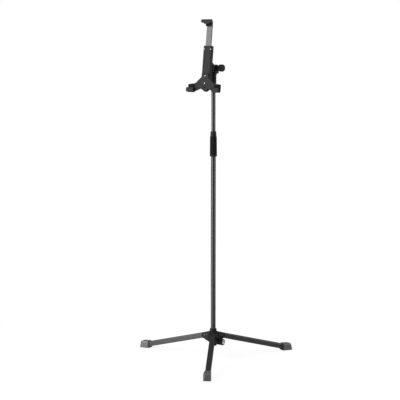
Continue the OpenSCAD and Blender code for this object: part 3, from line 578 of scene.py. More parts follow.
# %% [markdown]
# ## The feet
#
# Each leg ends in a rubber boot. Seen from the side it has a flat sole, a toe that leans back and a
# roof that falls towards the toe, so it starts as a slab with that outline. Its mouth is narrower
# than its toe, and is scaled to that. The two upright edges of the toe get a large bevel first. The
# edge of the roof gets a smaller one after it, which then runs round the toe in one line. A small
# bevel breaks the other edges, and grooves across the sole are the tread.

# %% The rubber boots
LEGS = ("left", "front", "rear")
TOE_HEIGHT, TOE_LEAN, TOE_OUT, MOUTH_WIDTH = 26.7, 5.0, 0.9, 26
TOE_ROUND, ROOF_ROUND, SOLE_ROUND = 7, 5, 1.2
TREADS, TREAD_PITCH, TREAD_WIDTH, TREAD_DEPTH = 5, 6, 2.2, 1.2
BOOT_SEGMENTS, MARGIN = 8, 1


def leg_bench(leg):
    """A bench on the floor under the pole, with x running out under one leg."""
    pivot = joint[f"leg_{leg}_fold"]["pos_m"]
    return bench((0, 0, 0), (pivot[X], pivot[Y], 0), (0, 0, 1))


def settle_on_legs(piece, name, node, coat=None):
    """Settles a piece on the left leg, and a copy of it on each of the others."""
    for leg in LEGS[1:]:
        settle(duplicate(piece), f"{name}_{leg}", f"{node}_{leg}", leg_bench(leg), coat)
    settle(piece, f"{name}_{LEGS[0]}", f"{node}_{LEGS[0]}", leg_bench(LEGS[0]), coat)


cap_low, cap_high = measure("foot_cap_left", leg_bench("left"))
side_view = [(cap_low.x, 0), (cap_high.x + TOE_OUT, 0), (cap_high.x - TOE_LEAN, TOE_HEIGHT),
             (cap_low.x, cap_high.z)]
boot = slab(side_view, cap_low.y, cap_high.y)
edit(boot)
pick("VERT", lambda corner: corner.co.x < cap_low.x + MARGIN)
scale(1, MOUTH_WIDTH / (cap_high.y - cap_low.y))
shape_up()


def of_toe(edge):
    """True for the two upright edges of the toe."""
    low, high = sorted((end.co for end in edge.verts), key=lambda place: place.z)
    return low.x > cap_low.x + MARGIN and high.z - low.z > TOE_HEIGHT / 2


def of_roof(edge):
    """True for the edges of the roof, apart from that at the mouth."""
    reach = max(end.co.x for end in edge.verts)
    return reach > cap_low.x + MARGIN and min(end.co.z for end in edge.verts) > TOE_HEIGHT - MARGIN


round_off(boot, of_toe, TOE_ROUND, BOOT_SEGMENTS)
round_off(boot, of_roof, ROOF_ROUND, BOOT_SEGMENTS)
soften(boot, SOLE_ROUND)
tread = block((cap_low.x + TREAD_PITCH, cap_low.y - TREAD_WIDTH, -TREAD_DEPTH),
              (cap_low.x + TREAD_PITCH + TREAD_WIDTH, cap_high.y + TREAD_WIDTH, TREAD_DEPTH))
combine("DIFFERENCE", boot, repeat(tread, TREADS, (TREAD_PITCH, 0, 0)))
settle_on_legs(boot, "rubber_boot", "foot_cap")

# %% [markdown]
# Between leg and boot sits a moulded collar, plugged into the end of the tube. Its inner face is
# flush with the tube and square to the leg, its outer face is upright, and it widens to the size of
# the boot. It is a slab with that side view, whose two ends are then scaled to their widths. A
# smaller neck behind it leaves the dark groove next to the boot.

# %% The foot collars
LEG_SLOPE = math.radians(15)
LEG_SIDE, COLLAR_LENGTH, COLLAR_ROUND, COLLAR_EDGE, FLOOR_GAP = 20, 5.5, 3, 0.6, 0.8
GROOVE_W, GROOVE_D, NECK_ROUND = 3.2, 2.2, 5

pivot = leg_bench("left").inverted() @ Vector(joint["leg_left_fold"]["pos_m"])
collar_end = cap_low.x - GROOVE_W
inner_x = collar_end - COLLAR_LENGTH
inner_z = pivot.z - (inner_x - pivot.x) * math.tan(LEG_SLOPE)
lean_x, lean_z = LEG_SIDE / 2 * math.sin(LEG_SLOPE), LEG_SIDE / 2 * math.cos(LEG_SLOPE)
end_top = inner_z - COLLAR_LENGTH * math.tan(LEG_SLOPE) + LEG_SIDE / 2 / math.cos(LEG_SLOPE)
collar = slab([(inner_x - lean_x, inner_z - lean_z), (collar_end, FLOOR_GAP), (collar_end, end_top),
               (inner_x + lean_x, inner_z + lean_z)], -1, 1)
edit(collar)
for at_end, half_width in ((False, LEG_SIDE / 2), (True, MOUTH_WIDTH / 2)):
    pick("VERT", lambda corner: (corner.co.x > collar_end - MARGIN) == at_end)
    scale(1, half_width)
shape_up()
round_off(collar, lambda edge: sum(end.co.x > collar_end - MARGIN for end in edge.verts) == 1,
          COLLAR_ROUND)
soften(collar, COLLAR_EDGE)
neck_half = MOUTH_WIDTH / 2 - GROOVE_D
neck = block((collar_end - COLLAR_EDGE, -neck_half, FLOOR_GAP + GROOVE_D),
             (cap_low.x, neck_half, cap_high.z - GROOVE_D))
round_off(neck, lambda edge: runs(edge, X), NECK_ROUND)
combine("UNION", collar, neck)
settle_on_legs(collar, "foot_sleeve", "foot_collar", smooth_nylon)

# %% [markdown]
# ## The hub
#
# The hub is one large moulding: a barrel round the pole with a shoulder on top, a pair of cheeks
# for each leg, and a boss for the clamp screw. A moulder would draw each of these as its own form
# and let them run together. So each is made and rounded alone, and the Boolean tool joins them.
# A turned form stands along z at first, and `ALONG_X` and `ALONG_N` lay it to the side or the front.
# Pieces reach past each other by `OVER`, so that no two faces coincide where they are joined or cut.

# %% The barrel, the boss and the cheeks
BARREL_R, SHOULDER_R, SHOULDER_H, BORE_R = 13.6, 17.1, 7, 9.8
BOSS_R, MOULDED_ROUND, FINE_ROUND = 12, 1.6, 0.8
CHEEK_IN, CHEEK_T, CHEEK_ROOT, CHEEK_PAST_PIVOT, CHEEK_ROUND = 10.3, 4, 3.9, 14, 4.5
KNEE_OUT, KNEE_DROP, END_DROP, CREST_DROP = 4, 2.5, 4, 2
OVER = 1
ALONG_X = Matrix.Rotation(math.pi / 2, 4, "Y")
ALONG_N = Matrix.Rotation(math.pi / 2, 4, "X")


def carry(piece, move):
    """Moves a piece on its bench and applies the move to its mesh."""
    take(piece)
    piece.matrix_world = move
    bpy.ops.object.transform_apply(location=True, rotation=True, scale=True)
    return piece


hub_low, hub_high = measure("hub_body", floor_bench)
boss_place = Vector((0, 0, joint["hub_clamp_turn"]["pos_m"][Z] / MM))
boss_end = measure("hub_insert", floor_bench)[1].x
hub = turned([(0, hub_low.z), (BARREL_R, hub_low.z), (BARREL_R, hub_high.z - SHOULDER_H),
              (SHOULDER_R, hub_high.z - SHOULDER_H), (SHOULDER_R, hub_high.z), (0, hub_high.z)])
soften(hub, MOULDED_ROUND)
boss = soften(rod(BOSS_R, 0, boss_end), FINE_ROUND)
carry(boss, Matrix.Translation(boss_place) @ ALONG_X)

half = LEG_SIDE / 2 / math.cos(LEG_SLOPE)
slope = math.tan(LEG_SLOPE)
knee, cheek_end = pivot.x + KNEE_OUT, pivot.x + CHEEK_PAST_PIVOT
crest = hub_high.z - CREST_DROP
cheek = slab([
    (CHEEK_ROOT, crest), (pivot.x + (pivot.z + half - crest) / slope, crest),
    (cheek_end, pivot.z - CHEEK_PAST_PIVOT * slope + half),
    (cheek_end, pivot.z - CHEEK_PAST_PIVOT * slope - END_DROP),
    (knee, pivot.z - KNEE_OUT * slope - half - KNEE_DROP),
    (CHEEK_ROOT, boss_place.z - BOSS_R / 2)], CHEEK_IN, CHEEK_IN + CHEEK_T)
round_off(cheek, lambda edge: runs(edge, Y) and middle(edge).x > knee - OVER, CHEEK_ROUND)
soften(cheek, FINE_ROUND)
cheeks = []
for leg in LEGS:
    for side in (0, -2 * CHEEK_IN - CHEEK_T):
        to_leg = floor_bench.inverted() @ leg_bench(leg) @ Matrix.Translation((0, side, 0))
        cheeks.append(carry(duplicate(cheek), to_leg))
bpy.data.objects.remove(cheek)
combine("UNION", hub, boss, *cheeks)
print("hub:", len(hub.data.polygons), "faces before the bores")

# %% [markdown]
# The bores come last, so that they run through everything. The pole goes in from above, the collar
# ring sits in a wider step, and the threaded insert sits in the end of the boss.

# %% The bores of the hub
HUB_FLOOR, SPIGOT_R, SPIGOT_H = 4, 11.45, 6
PAD_BORE_R, INSERT_R, INSERT_LENGTH = 5.3, 6.55, 10

pole_bore = turned([
    (0, hub_low.z + HUB_FLOOR), (BORE_R, hub_low.z + HUB_FLOOR), (BORE_R, hub_high.z - SPIGOT_H),
    (SPIGOT_R, hub_high.z - SPIGOT_H), (SPIGOT_R, hub_high.z + OVER), (0, hub_high.z + OVER)])
clamp_bore = turned([
    (0, 0), (PAD_BORE_R, 0), (PAD_BORE_R, boss_end - INSERT_LENGTH), (INSERT_R, boss_end - INSERT_LENGTH),
    (INSERT_R, boss_end + OVER), (0, boss_end + OVER)])
carry(clamp_bore, Matrix.Translation(boss_place) @ ALONG_X)
combine("DIFFERENCE", hub, pole_bore, clamp_bore)
settle(hub, "hub_moulding", "hub_body", floor_bench)

# %% [markdown]
# The collar ring is a turned part: a profile with a groove round its waist, spun about the pole.

# %% The collar ring
RING_CHAMFER, RING_GROOVE, GROOVE_DEPTH, EDGE_ROUND, SLEEVE_FIT = 1.5, 2, 0.7, 0.35, 0.1

ring_low, ring_high = measure("hub_collar", floor_bench)
groove = (hub_high.z + ring_high.z) / 2
ring = turned([
    (BORE_R, ring_low.z), (SPIGOT_R - SLEEVE_FIT, ring_low.z), (SPIGOT_R - SLEEVE_FIT, hub_high.z),
    (ring_high.x, hub_high.z), (ring_high.x, groove - RING_GROOVE / 2),
    (ring_high.x - GROOVE_DEPTH, groove - RING_GROOVE / 4), (ring_high.x - GROOVE_DEPTH, groove),
    (ring_high.x, groove + RING_GROOVE / 4), (ring_high.x, ring_high.z - RING_CHAMFER),
    (ring_high.x - RING_CHAMFER, ring_high.z), (BORE_R, ring_high.z), (BORE_R, ring_low.z)])
soften(ring, EDGE_ROUND, segments=2)
settle(ring, "hub_ring", "hub_collar", floor_bench)

# %% [markdown]
# Two steel pins hold each leg: one it turns on, and one it rests on when it is open. Their heads
# are pressed to a low dome. One pin of each kind is turned, and every leg gets a copy.

# %% The leg pins
PIN_HALF, DOME_H, DOME_STEPS = CHEEK_IN + CHEEK_T, 0.9, 5
PIVOT_R, PIVOT_HEAD_R, STOP_R, STOP_HEAD_R, STOP_BACK = 3, 4.2, 2.5, 3.7, 11.4


def quarter_turn(steps):
    """The angles of a quarter of a circle, in even steps."""
    return [i * math.pi / 2 / steps for i in range(steps + 1)]


def domed_pin(radius, head_radius):
    """A pin with a low dome on both ends, along z."""
    dome = [(head_radius * math.sin(a), PIN_HALF + DOME_H * math.cos(a)) for a in quarter_turn(DOME_STEPS)]
    lower = [(r, -z) for r, z in reversed(dome)]
    return turned(dome + [(radius, PIN_HALF), (radius, -PIN_HALF)] + lower, steps=32)


for kind, node, back, pin in (
        ("pivot", "leg_pivot_pins", 0, domed_pin(PIVOT_R, PIVOT_HEAD_R)),
        ("stop", "leg_stop_pins", STOP_BACK, domed_pin(STOP_R, STOP_HEAD_R))):
    for leg in LEGS:
        fold = joint[f"leg_{leg}_fold"]
        place = Vector((pivot.x - back * math.cos(LEG_SLOPE), 0, pivot.z + back * math.sin(LEG_SLOPE)))
        settle(duplicate(pin), f"{kind}_pin_{leg}", node,
               bench(leg_bench(leg) @ place, (0, 0, 1), fold["axis"]))
    bpy.data.objects.remove(pin)

# %% [markdown]
# ## Knobs
#
# Three knobs clamp the stand, and all have finger flutes. A circle is drawn with a dozen points to
# a flute, and those points are scaled inwards step by step, most in the middle of a flute. Then the
# outline is extruded, and its end face is scaled in, step by step, and pushed down to a dish.

# %% A fluted knob
FLUTES, FLUTE_POINTS = 10, 12
DISH_STEPS = ((0.84, 0), (0.8, 0.5), (0.7, 1))


def fluted_knob(radius, bottom, top, depth, dish=0):
    """A knob between two heights, with flutes of a depth round its side and a dished end."""
    circle(FLUTE_POINTS * FLUTES, radius, bottom)
    for step in range(FLUTE_POINTS // 2):
        from_middle = 2 * step / FLUTE_POINTS
        shrink = 1 - depth / radius * (1 + math.cos(math.pi * from_middle)) / 2

        def on_step(corner):
            """True for the points at one distance from the middle of a flute."""
            share = math.atan2(corner.co.y, corner.co.x) / (2 * math.pi) * FLUTES % 1
            return abs(abs(2 * share - 1) - from_middle) < NEAR

        pick("VERT", on_step)
        scale(shrink, shrink)
    bpy.ops.mesh.select_all(action="SELECT")
    extrude((0, 0, top - bottom))
    knob = soften(shape_up(), MOULDED_ROUND)
    if dish:
        edit(knob)
        pick("FACE", lambda face: face.normal.z > PARALLEL and middle(face).z > top - NEAR)
        for share, sink in DISH_STEPS:
            extrude()
            scale(share, share)
            bpy.ops.transform.translate(value=(0, 0, -sink * dish))
        shape_up()
    return knob


# %% [markdown]
# The hub knob has a short neck behind it, and a plated cap is let into its end. The cap is the one
# bright spot on the stand.

# %% The hub knob and its cap
KNOB_GAP, FLUTE_DEPTH, NECK_R, SCREW_R = 3, 1.1, 7.5, 4.05
CAP_R, CAP_T, CAP_FIT, CAP_RIM, CAP_DISH = 8, 1.5, 0.05, 1.2, 0.4

clamp_bench = bench(floor_bench @ boss_place, (0, 0, 1), joint["hub_clamp_turn"]["axis"])
knob_low, knob_high = measure("hub_knob", clamp_bench)
knob_start = boss_end + KNOB_GAP
knob = fluted_knob(knob_high.x, knob_start, knob_high.z, FLUTE_DEPTH)
knob_neck = soften(rod(NECK_R, knob_low.z, knob_start + OVER), EDGE_ROUND, segments=2)
cap_seat = rod(CAP_R + CAP_FIT, knob_high.z - CAP_T, knob_high.z + OVER)
screw_hole = rod(SCREW_R, knob_low.z - OVER, knob_high.z - 2 * CAP_T)
combine("UNION", knob, knob_neck)
combine("DIFFERENCE", knob, cap_seat, screw_hole)
settle(knob, "hub_clamp_grip", "hub_knob", clamp_bench)
cap = turned([(0, knob_high.z - CAP_DISH), (CAP_R - 2 * CAP_RIM, knob_high.z - CAP_DISH),
              (CAP_R - CAP_RIM, knob_high.z), (CAP_R, knob_high.z), (CAP_R, knob_high.z - CAP_T),
              (0, knob_high.z - CAP_T)])
soften(cap, EDGE_ROUND, segments=2, sharper_than=20)
settle(cap, "plated_cap", "hub_knob_cap", clamp_bench)

# %% [markdown]
# ## The twist clutch
#
# A ring is fixed to the lower tube, and above it a sleeve with a rubber grip turns and closes the
# collet on the upper tube. Ring and sleeve are turned parts. Only the nose of the sleeve shows, but
# its inside is drawn too, so that the mouth round the upper tube is a real gap.

# %% The clutch ring and the nose
TUBE_R, TUBE_FIT, BASE_WALL = 9.5, 0.05, 1
SLEEVE_IN, SLEEVE_R, NOSE_R, MOUTH_R, COLLET_R = 10.85, 11.95, 10.95, 8.3, 9.76
NOSE_LIP, BEAD, BEAD_H, COLLET_UP = 5, 0.5, 2.4, 8

base_low, base_high = measure("clutch_base", floor_bench)
grip_low, grip_high = measure("clutch_grip", floor_bench)
nose_top = measure("clutch_sleeve", floor_bench)[1].z
lower_top = measure("lower_tube", floor_bench)[1].z
ring_top = grip_low.z - SLEEVE_FIT
clutch_ring = turned([
    (TUBE_R + TUBE_FIT, base_low.z), (base_high.x, base_low.z), (base_high.x, ring_top),
    (TUBE_R + TUBE_FIT + BASE_WALL, ring_top), (TUBE_R + TUBE_FIT + BASE_WALL, base_high.z),
    (TUBE_R + TUBE_FIT, base_high.z), (TUBE_R + TUBE_FIT, base_low.z)])
soften(clutch_ring, FINE_ROUND)
settle(clutch_ring, "clutch_ring", "clutch_base", floor_bench)

nose = turned([
    (SLEEVE_IN, grip_low.z), (SLEEVE_R, grip_low.z), (SLEEVE_R, grip_high.z),
    (SLEEVE_R, grip_high.z + BEAD_H), (SLEEVE_R - BEAD, grip_high.z + BEAD_H),
    (NOSE_R, nose_top), (MOUTH_R, nose_top), (MOUTH_R, nose_top - NOSE_LIP),
    (COLLET_R, nose_top - NOSE_LIP), (COLLET_R, lower_top + COLLET_UP), (SLEEVE_IN, lower_top + COLLET_UP),
    (SLEEVE_IN, grip_low.z)])
soften(nose, EDGE_ROUND)
settle(nose, "clutch_nose", "clutch_sleeve", floor_bench)

# %% [markdown]
# The grip is a tapered rubber tube with fine ribs along it and a smooth band at each end. It grows
# from a circle: the edge is extruded upwards ring by ring and scaled for the taper, and in the
# ribbed rings every second pair of points is drawn in. The wall then turns inwards, runs back down
# and is bridged to the first ring.

# %% The ribbed grip
RIBS, RIB_POINTS, RIB_DEPTH, BAND, BAND_STEP = 36, 4, 0.55, 3.4, 0.7
TOP_RUBBER, GRIP_FIT = 0.95, 0.05

grip_top_r, inner_r = SLEEVE_R + TOP_RUBBER, SLEEVE_R + GRIP_FIT
grip = circle(RIBS * RIB_POINTS, grip_high.x, grip_low.z, fill="NOTHING")
height, radius = grip_low.z, grip_high.x
heights = [grip_low.z + BAND, grip_low.z + BAND + BAND_STEP, grip_high.z - BAND - BAND_STEP,
           grip_high.z - BAND, grip_high.z]
taper = (grip_high.x - grip_top_r) / (grip_high.z - grip_low.z)
rings = [(z, grip_high.x - taper * (z - grip_low.z)) for z in heights]
for next_height, next_radius in rings + [(grip_high.z, inner_r), (grip_low.z, inner_r)]:
    extrude((0, 0, next_height - height))
    scale(next_radius / radius, next_radius / radius)
    height, radius = next_height, next_radius
pick("VERT", lambda corner: abs(corner.co.z - grip_low.z) < NEAR)
bpy.ops.mesh.select_mode(type="EDGE")
bpy.ops.mesh.bridge_edge_loops()


def in_a_valley(corner):
    """True for the points between two ribs."""
    turn = math.atan2(corner.co.y, corner.co.x) / (2 * math.pi) * RIBS * RIB_POINTS
    ribbed = grip_low.z + BAND + NEAR < corner.co.z < grip_high.z - BAND - NEAR
    return ribbed and round(turn) % RIB_POINTS < RIB_POINTS / 2


pick("VERT", in_a_valley)
valley = 1 - RIB_DEPTH / grip_high.x
scale(valley, valley)
shape_up()
soften(grip, EDGE_ROUND, segments=2, sharper_than=50)
settle(grip, "ribbed_grip", "clutch_grip", floor_bench)

# %% [markdown]
# ## The head
#
# On the upper tube sits a fork, and between its ears a block tilts on a bolt. The fork starts as one
# slab with a round top, seen from the side, and the room for the block is cut out of its middle.
# The socket below is turned and joined to it.

# %% The fork
SOCKET_R, SOCKET_LENGTH, SOCKET_CONE, TUBE_DEPTH = 11.05, 38, 10, 32
EAR_R, EAR_IN, EAR_OUT, FORK_RISE, WEB_H = 13, 8.9, 15.9, 21, 7.6
UPPER_R, AXLE_R, SET_SCREW_R, SET_SCREW_UP = 8, 4.05, 2.55, 12
ARC_STEPS = 16

fork_bench = bench((0, 0, 0), (0, 1, 0), (0, 0, 1))
tilt_height = joint["head_tilt"]["pos_m"][Z] / MM
socket_top = tilt_height - FORK_RISE
socket_bottom = socket_top - SOCKET_LENGTH
round_top = [(EAR_R * math.cos(a), tilt_height + EAR_R * math.sin(a))
             for a in (i * math.pi / ARC_STEPS for i in range(ARC_STEPS + 1))]
fork = slab([(EAR_R, socket_top)] + round_top + [(-EAR_R, socket_top)], -EAR_OUT, EAR_OUT)
block_room = block((-2 * EAR_R, -EAR_IN, socket_top + WEB_H), (2 * EAR_R, EAR_IN, tilt_height + 2 * EAR_R))
combine("DIFFERENCE", fork, block_room)
soften(fork, FINE_ROUND)
socket = turned([(0, socket_bottom), (SOCKET_R, socket_bottom), (SOCKET_R, socket_top - SOCKET_CONE),
                 (EAR_R, socket_top), (EAR_R, socket_top + WEB_H / 2), (0, socket_top + WEB_H / 2)])
soften(socket, FINE_ROUND, sharper_than=10)
combine("UNION", fork, socket)
tube_bore = rod(UPPER_R + TUBE_FIT, socket_bottom - OVER, socket_bottom + TUBE_DEPTH)
axle_bore = rod(AXLE_R, -2 * EAR_OUT, 2 * EAR_OUT)
carry(axle_bore, Matrix.Translation((0, 0, tilt_height)) @ ALONG_N)
set_screw_bore = rod(SET_SCREW_R, 0, 2 * SOCKET_R)
carry(set_screw_bore, Matrix.Translation((0, 0, socket_bottom + SET_SCREW_UP)) @ ALONG_X)
combine("DIFFERENCE", fork, tube_bore, axle_bore, set_screw_bore)
settle(fork, "pole_fork", "head_fork", fork_bench)

# %% [markdown]
# The set screw that pins the fork to the tube is a grub screw with a hexagon socket. A six-sided
# cylinder cuts the socket.

# %% The set screw
SOCKET_AF, SOCKET_DEPTH = 2.5, 1.6


def hexagon(across_flats, bottom, top):
    """A hexagonal bar between two heights."""
    circle(6, across_flats / math.sqrt(3), bottom, turn=math.pi / 6)
    extrude((0, 0, top - bottom))
    return shape_up()


grub_bench = bench((0, 0, (socket_bottom + SET_SCREW_UP) * MM), (0, 0, 1), (0, 1, 0))
grub_low, grub_high = measure("fork_set_screw", grub_bench)
grub = soften(rod(grub_high.x, grub_low.z, grub_high.z, steps=32), EDGE_ROUND, segments=2)
combine("DIFFERENCE", grub, hexagon(SOCKET_AF, grub_high.z - SOCKET_DEPTH, grub_high.z + OVER))
settle(grub, "grub_screw", "fork_set_screw", grub_bench)

# %% [markdown]
# The tilt bolt is a hexagon bolt, and its knob works as the nut. A bolt head is chamfered on a
# lathe: a cone is turned round a hexagonal bar, which leaves the curved edges on its corners. Here a
# turned cap is intersected with the hexagon, and that cuts the same curves.

# %% The tilt bolt
BOLT_AF, BOLT_HEAD_T, BOLT_R, BOLT_CHAMFER = 13, 5.3, 4, 0.8

tilt_bench = bench(joint["head_tilt"]["pos_m"], (0, 0, 1), (1, 0, 0))
bolt_low, bolt_high = measure("tilt_bolt", tilt_bench)
corner_r = BOLT_AF / math.sqrt(3)
bolt = hexagon(BOLT_AF, bolt_low.z, bolt_low.z + BOLT_HEAD_T)
lathe_cap = turned([
    (0, bolt_low.z), (corner_r - 2 * BOLT_CHAMFER, bolt_low.z), (corner_r, bolt_low.z + BOLT_CHAMFER),
    (corner_r, bolt_low.z + BOLT_HEAD_T), (0, bolt_low.z + BOLT_HEAD_T)])
combine("INTERSECT", bolt, lathe_cap)
shank = turned([
    (0, bolt_low.z + BOLT_HEAD_T / 2), (BOLT_R, bolt_low.z + BOLT_HEAD_T / 2),
    (BOLT_R, bolt_high.z - BOLT_CHAMFER), (BOLT_R - BOLT_CHAMFER, bolt_high.z), (0, bolt_high.z)], steps=48)
combine("UNION", bolt, shank)
settle(bolt, "hexagon_bolt", "tilt_bolt", tilt_bench)

# %% [markdown]
# The tilt knob is the larger fluted knob on a plain neck.

# %% The tilt knob
TILT_NECK_R, TILT_NECK_LENGTH, TILT_END_WALL, TILT_FLUTE_DEPTH, KNOB_DISH = 8, 9.8, 4, 1.4, 1

tilt_low, tilt_high = measure("tilt_knob", tilt_bench)
grip_start = tilt_low.z + TILT_NECK_LENGTH
tilt_grip = fluted_knob(tilt_high.x, grip_start, tilt_high.z, TILT_FLUTE_DEPTH, KNOB_DISH)
tilt_neck = soften(rod(TILT_NECK_R, tilt_low.z, grip_start + OVER), EDGE_ROUND, segments=2)
bolt_hole = rod(AXLE_R, tilt_low.z - OVER, tilt_high.z - TILT_END_WALL)
combine("UNION", tilt_grip, tilt_neck)
combine("DIFFERENCE", tilt_grip, bolt_hole)
settle(tilt_grip, "tilt_clamp_grip", "tilt_knob", tilt_bench)

# %% [markdown]
# ## The tilting head's own bench
#
# The holder leans back a little. From here on the bench leans with it: x runs sideways, z up along
# the slide of the jaw, and y backwards, so that the front of a piece is at its lowest y. The depth
# of a piece in front of the tilt axle is called n, and y is minus n.

# %% The tilt block
BLOCK_R, BLOCK_HALF, NECK_HALF_H, BLOCK_REACH = 12.2, 7.7, 10, 28
FLANGE_R, FLANGE_T, TURN_INSERT_N, TURN_INSERT_R = 20, 6, 9, 5.05

head_bench = bench(joint["head_tilt"]["pos_m"], (1, 0, 0), joint["jaw_slide"]["axis"])
tilt_barrel = carry(soften(rod(BLOCK_R, -BLOCK_HALF, BLOCK_HALF), FINE_ROUND), ALONG_X)
neck_bar = block((-BLOCK_HALF, FLANGE_T / 2 - BLOCK_REACH, -NECK_HALF_H), (BLOCK_HALF, 0, NECK_HALF_H))
soften(neck_bar, MOULDED_ROUND)
flange = carry(soften(rod(FLANGE_R, BLOCK_REACH - FLANGE_T, BLOCK_REACH), FINE_ROUND), ALONG_N)
combine("UNION", tilt_barrel, neck_bar, flange)
tilt_bore = rod(AXLE_R, -2 * BLOCK_HALF, 2 * BLOCK_HALF)
insert_bore = rod(TURN_INSERT_R, TURN_INSERT_N, BLOCK_REACH + OVER)
combine("DIFFERENCE", tilt_barrel, carry(tilt_bore, ALONG_X), carry(insert_bore, ALONG_N))
settle(tilt_barrel, "tilt_moulding", "tilt_block", head_bench)

# %% [markdown]
# ## The holder
#
# The spine is the back half of the holder: a long plate with a pointed foot, a round boss on its
# back and a channel in its front for the slide rail. The outline is drawn once as a list of points,
# because the cover in front of it has the same one.

# %% The spine
SPINE_HALF, SPINE_BOSS_T, POINT_H, CHANNEL_UP, RAIL_SLACK = 17, 4, 11.3, 4, 0.3
SCREW_HEAD_R, SCREW_HEAD_T, SCREW_SHANK_R, SCREW_LENGTH, HOLE_FIT = 2.8, 1.6, 1.5, 9, 0.05
SCREW_SIDES, COVER_SCREW_U, COVER_SCREW_V = 24, 14, (-40, 66)
COVER_SCREWS = [(side * COVER_SCREW_U, v) for side in (-1, 1) for v in COVER_SCREW_V]
BACK_RIB_U, BACK_RIB_W, BACK_RIB_H = 13, 2.2, 0.9
CORNER_ROUND = 2.6

cover_low, cover_high = measure("spine_cover", head_bench)
spine_low, spine_high = measure("holder_spine", head_bench)
rail_low, rail_high = measure("slide_rail", head_bench)
lock_v = (head_bench.inverted() @ Vector(joint["rail_lock_turn"]["pos_m"])).z
cover_front = -cover_low.y
hip = cover_low.z + POINT_H
spine_outline = [(-SPINE_HALF, cover_high.z), (SPINE_HALF, cover_high.z), (SPINE_HALF, hip),
                 (0, cover_low.z), (-SPINE_HALF, hip)]


def screw_place(u, n, v, points_back):
    """The place of a screw whose head stands on the depth n. Its head is in front, or behind."""
    turn = Matrix.Rotation(math.pi, 4, "X") if points_back else Matrix.Identity(4)
    return Matrix.Translation((u, -n, v)) @ ALONG_N @ turn


def bore_screws(piece, places, n, points_back=False):
    """Cuts a hole for a screw in each of several places, with room for its head."""
    head_r, shank_r, end = SCREW_HEAD_R + HOLE_FIT, SCREW_SHANK_R + HOLE_FIT, -SCREW_LENGTH - HOLE_FIT
    for u, v in places:
        hole = turned([(0, end), (shank_r, end), (shank_r, 0), (head_r, 0), (head_r, SCREW_HEAD_T + OVER),
                       (0, SCREW_HEAD_T + OVER)], steps=SCREW_SIDES)
        combine("DIFFERENCE", piece, carry(hole, screw_place(u, n, v, points_back)))


spine = slab(spine_outline, spine_high.y - SPINE_BOSS_T, spine_low.y)
round_off(spine, lambda edge: runs(edge, Y), CORNER_ROUND)
ribs = [block((side * BACK_RIB_U - BACK_RIB_W / 2, spine_high.y - SPINE_BOSS_T - OVER, hip),
              (side * BACK_RIB_U + BACK_RIB_W / 2, spine_high.y - SPINE_BOSS_T + BACK_RIB_H,
               cover_high.z - 2 * BACK_RIB_W)) for side in (-1, 1)]
soften(spine, FINE_ROUND)
turn_boss = soften(rod(FLANGE_R, -spine_high.y, OVER + SPINE_BOSS_T - spine_high.y), FINE_ROUND)
combine("UNION", spine, carry(turn_boss, ALONG_N), *[soften(rib, EDGE_ROUND) for rib in ribs])
channel = block((rail_low.x - RAIL_SLACK, spine_low.y - OVER, hip + CHANNEL_UP),
                (rail_high.x + RAIL_SLACK, rail_high.y + RAIL_SLACK, cover_high.z + OVER))
lock_bore = rod(TURN_INSERT_R, -OVER, -spine_low.y)
carry(lock_bore, Matrix.Translation((0, spine_high.y + OVER, lock_v)) @ ALONG_N)
combine("DIFFERENCE", spine, channel, lock_bore)
bore_screws(spine, COVER_SCREWS, cover_front - SCREW_HEAD_T)
settle(spine, "spine_moulding", "holder_spine", head_bench)

# %% [markdown]
# The cover closes the channel. Its front gets a sunk panel, which is what a moulder does to hide
# the slight waves of a large flat face: the front face is inset and pushed in.

# %% The spine cover
PANEL_EDGE, PANEL_SINK, PANEL_SLOPE = 1.3, 0.5, 0.4
CRADLE_SCREWS = [(0, -35.2), (0, -63.2)]
CRADLE_T = 4

cover = slab(spine_outline, cover_high.y, cover_low.y)
round_off(cover, lambda edge: runs(edge, Y), CORNER_ROUND)


def sink_front(piece, front, sink):
    """Insets the front face of a piece and pushes the middle in."""
    edit(piece)
    pick("FACE", lambda face: face.normal.y < -PARALLEL and abs(middle(face).y - front) < NEAR)
    bpy.ops.mesh.inset(thickness=PANEL_EDGE)
    bpy.ops.mesh.inset(thickness=PANEL_SLOPE)
    bpy.ops.transform.translate(value=(0, sink, 0))
    return shape_up()


sink_front(soften(cover, FINE_ROUND), cover_low.y, PANEL_SINK)
cradle_front = cover_front + CRADLE_T
bore_screws(cover, COVER_SCREWS, cover_front - SCREW_HEAD_T)
bore_screws(cover, CRADLE_SCREWS, cradle_front - SCREW_HEAD_T)
settle(cover, "cover_moulding", "spine_cover", head_bench)

# %% [markdown]
# The cradle spreads from the spine to the two hooks, like an anchor. Its outline is drawn for the
# right half and mirrored in code, so that both halves agree to the last digit.

# %% The cradle
HOOK_U, HOOK_HALF, HOOK_CHAMFER, ARM_H, ARM_RISE, ARM_NECK = 57, 16, 4, 22, 4, 14
CRADLE_HALF, CRADLE_SINK = 15, 0.8
HOOK_SCREW_ACROSS = 8

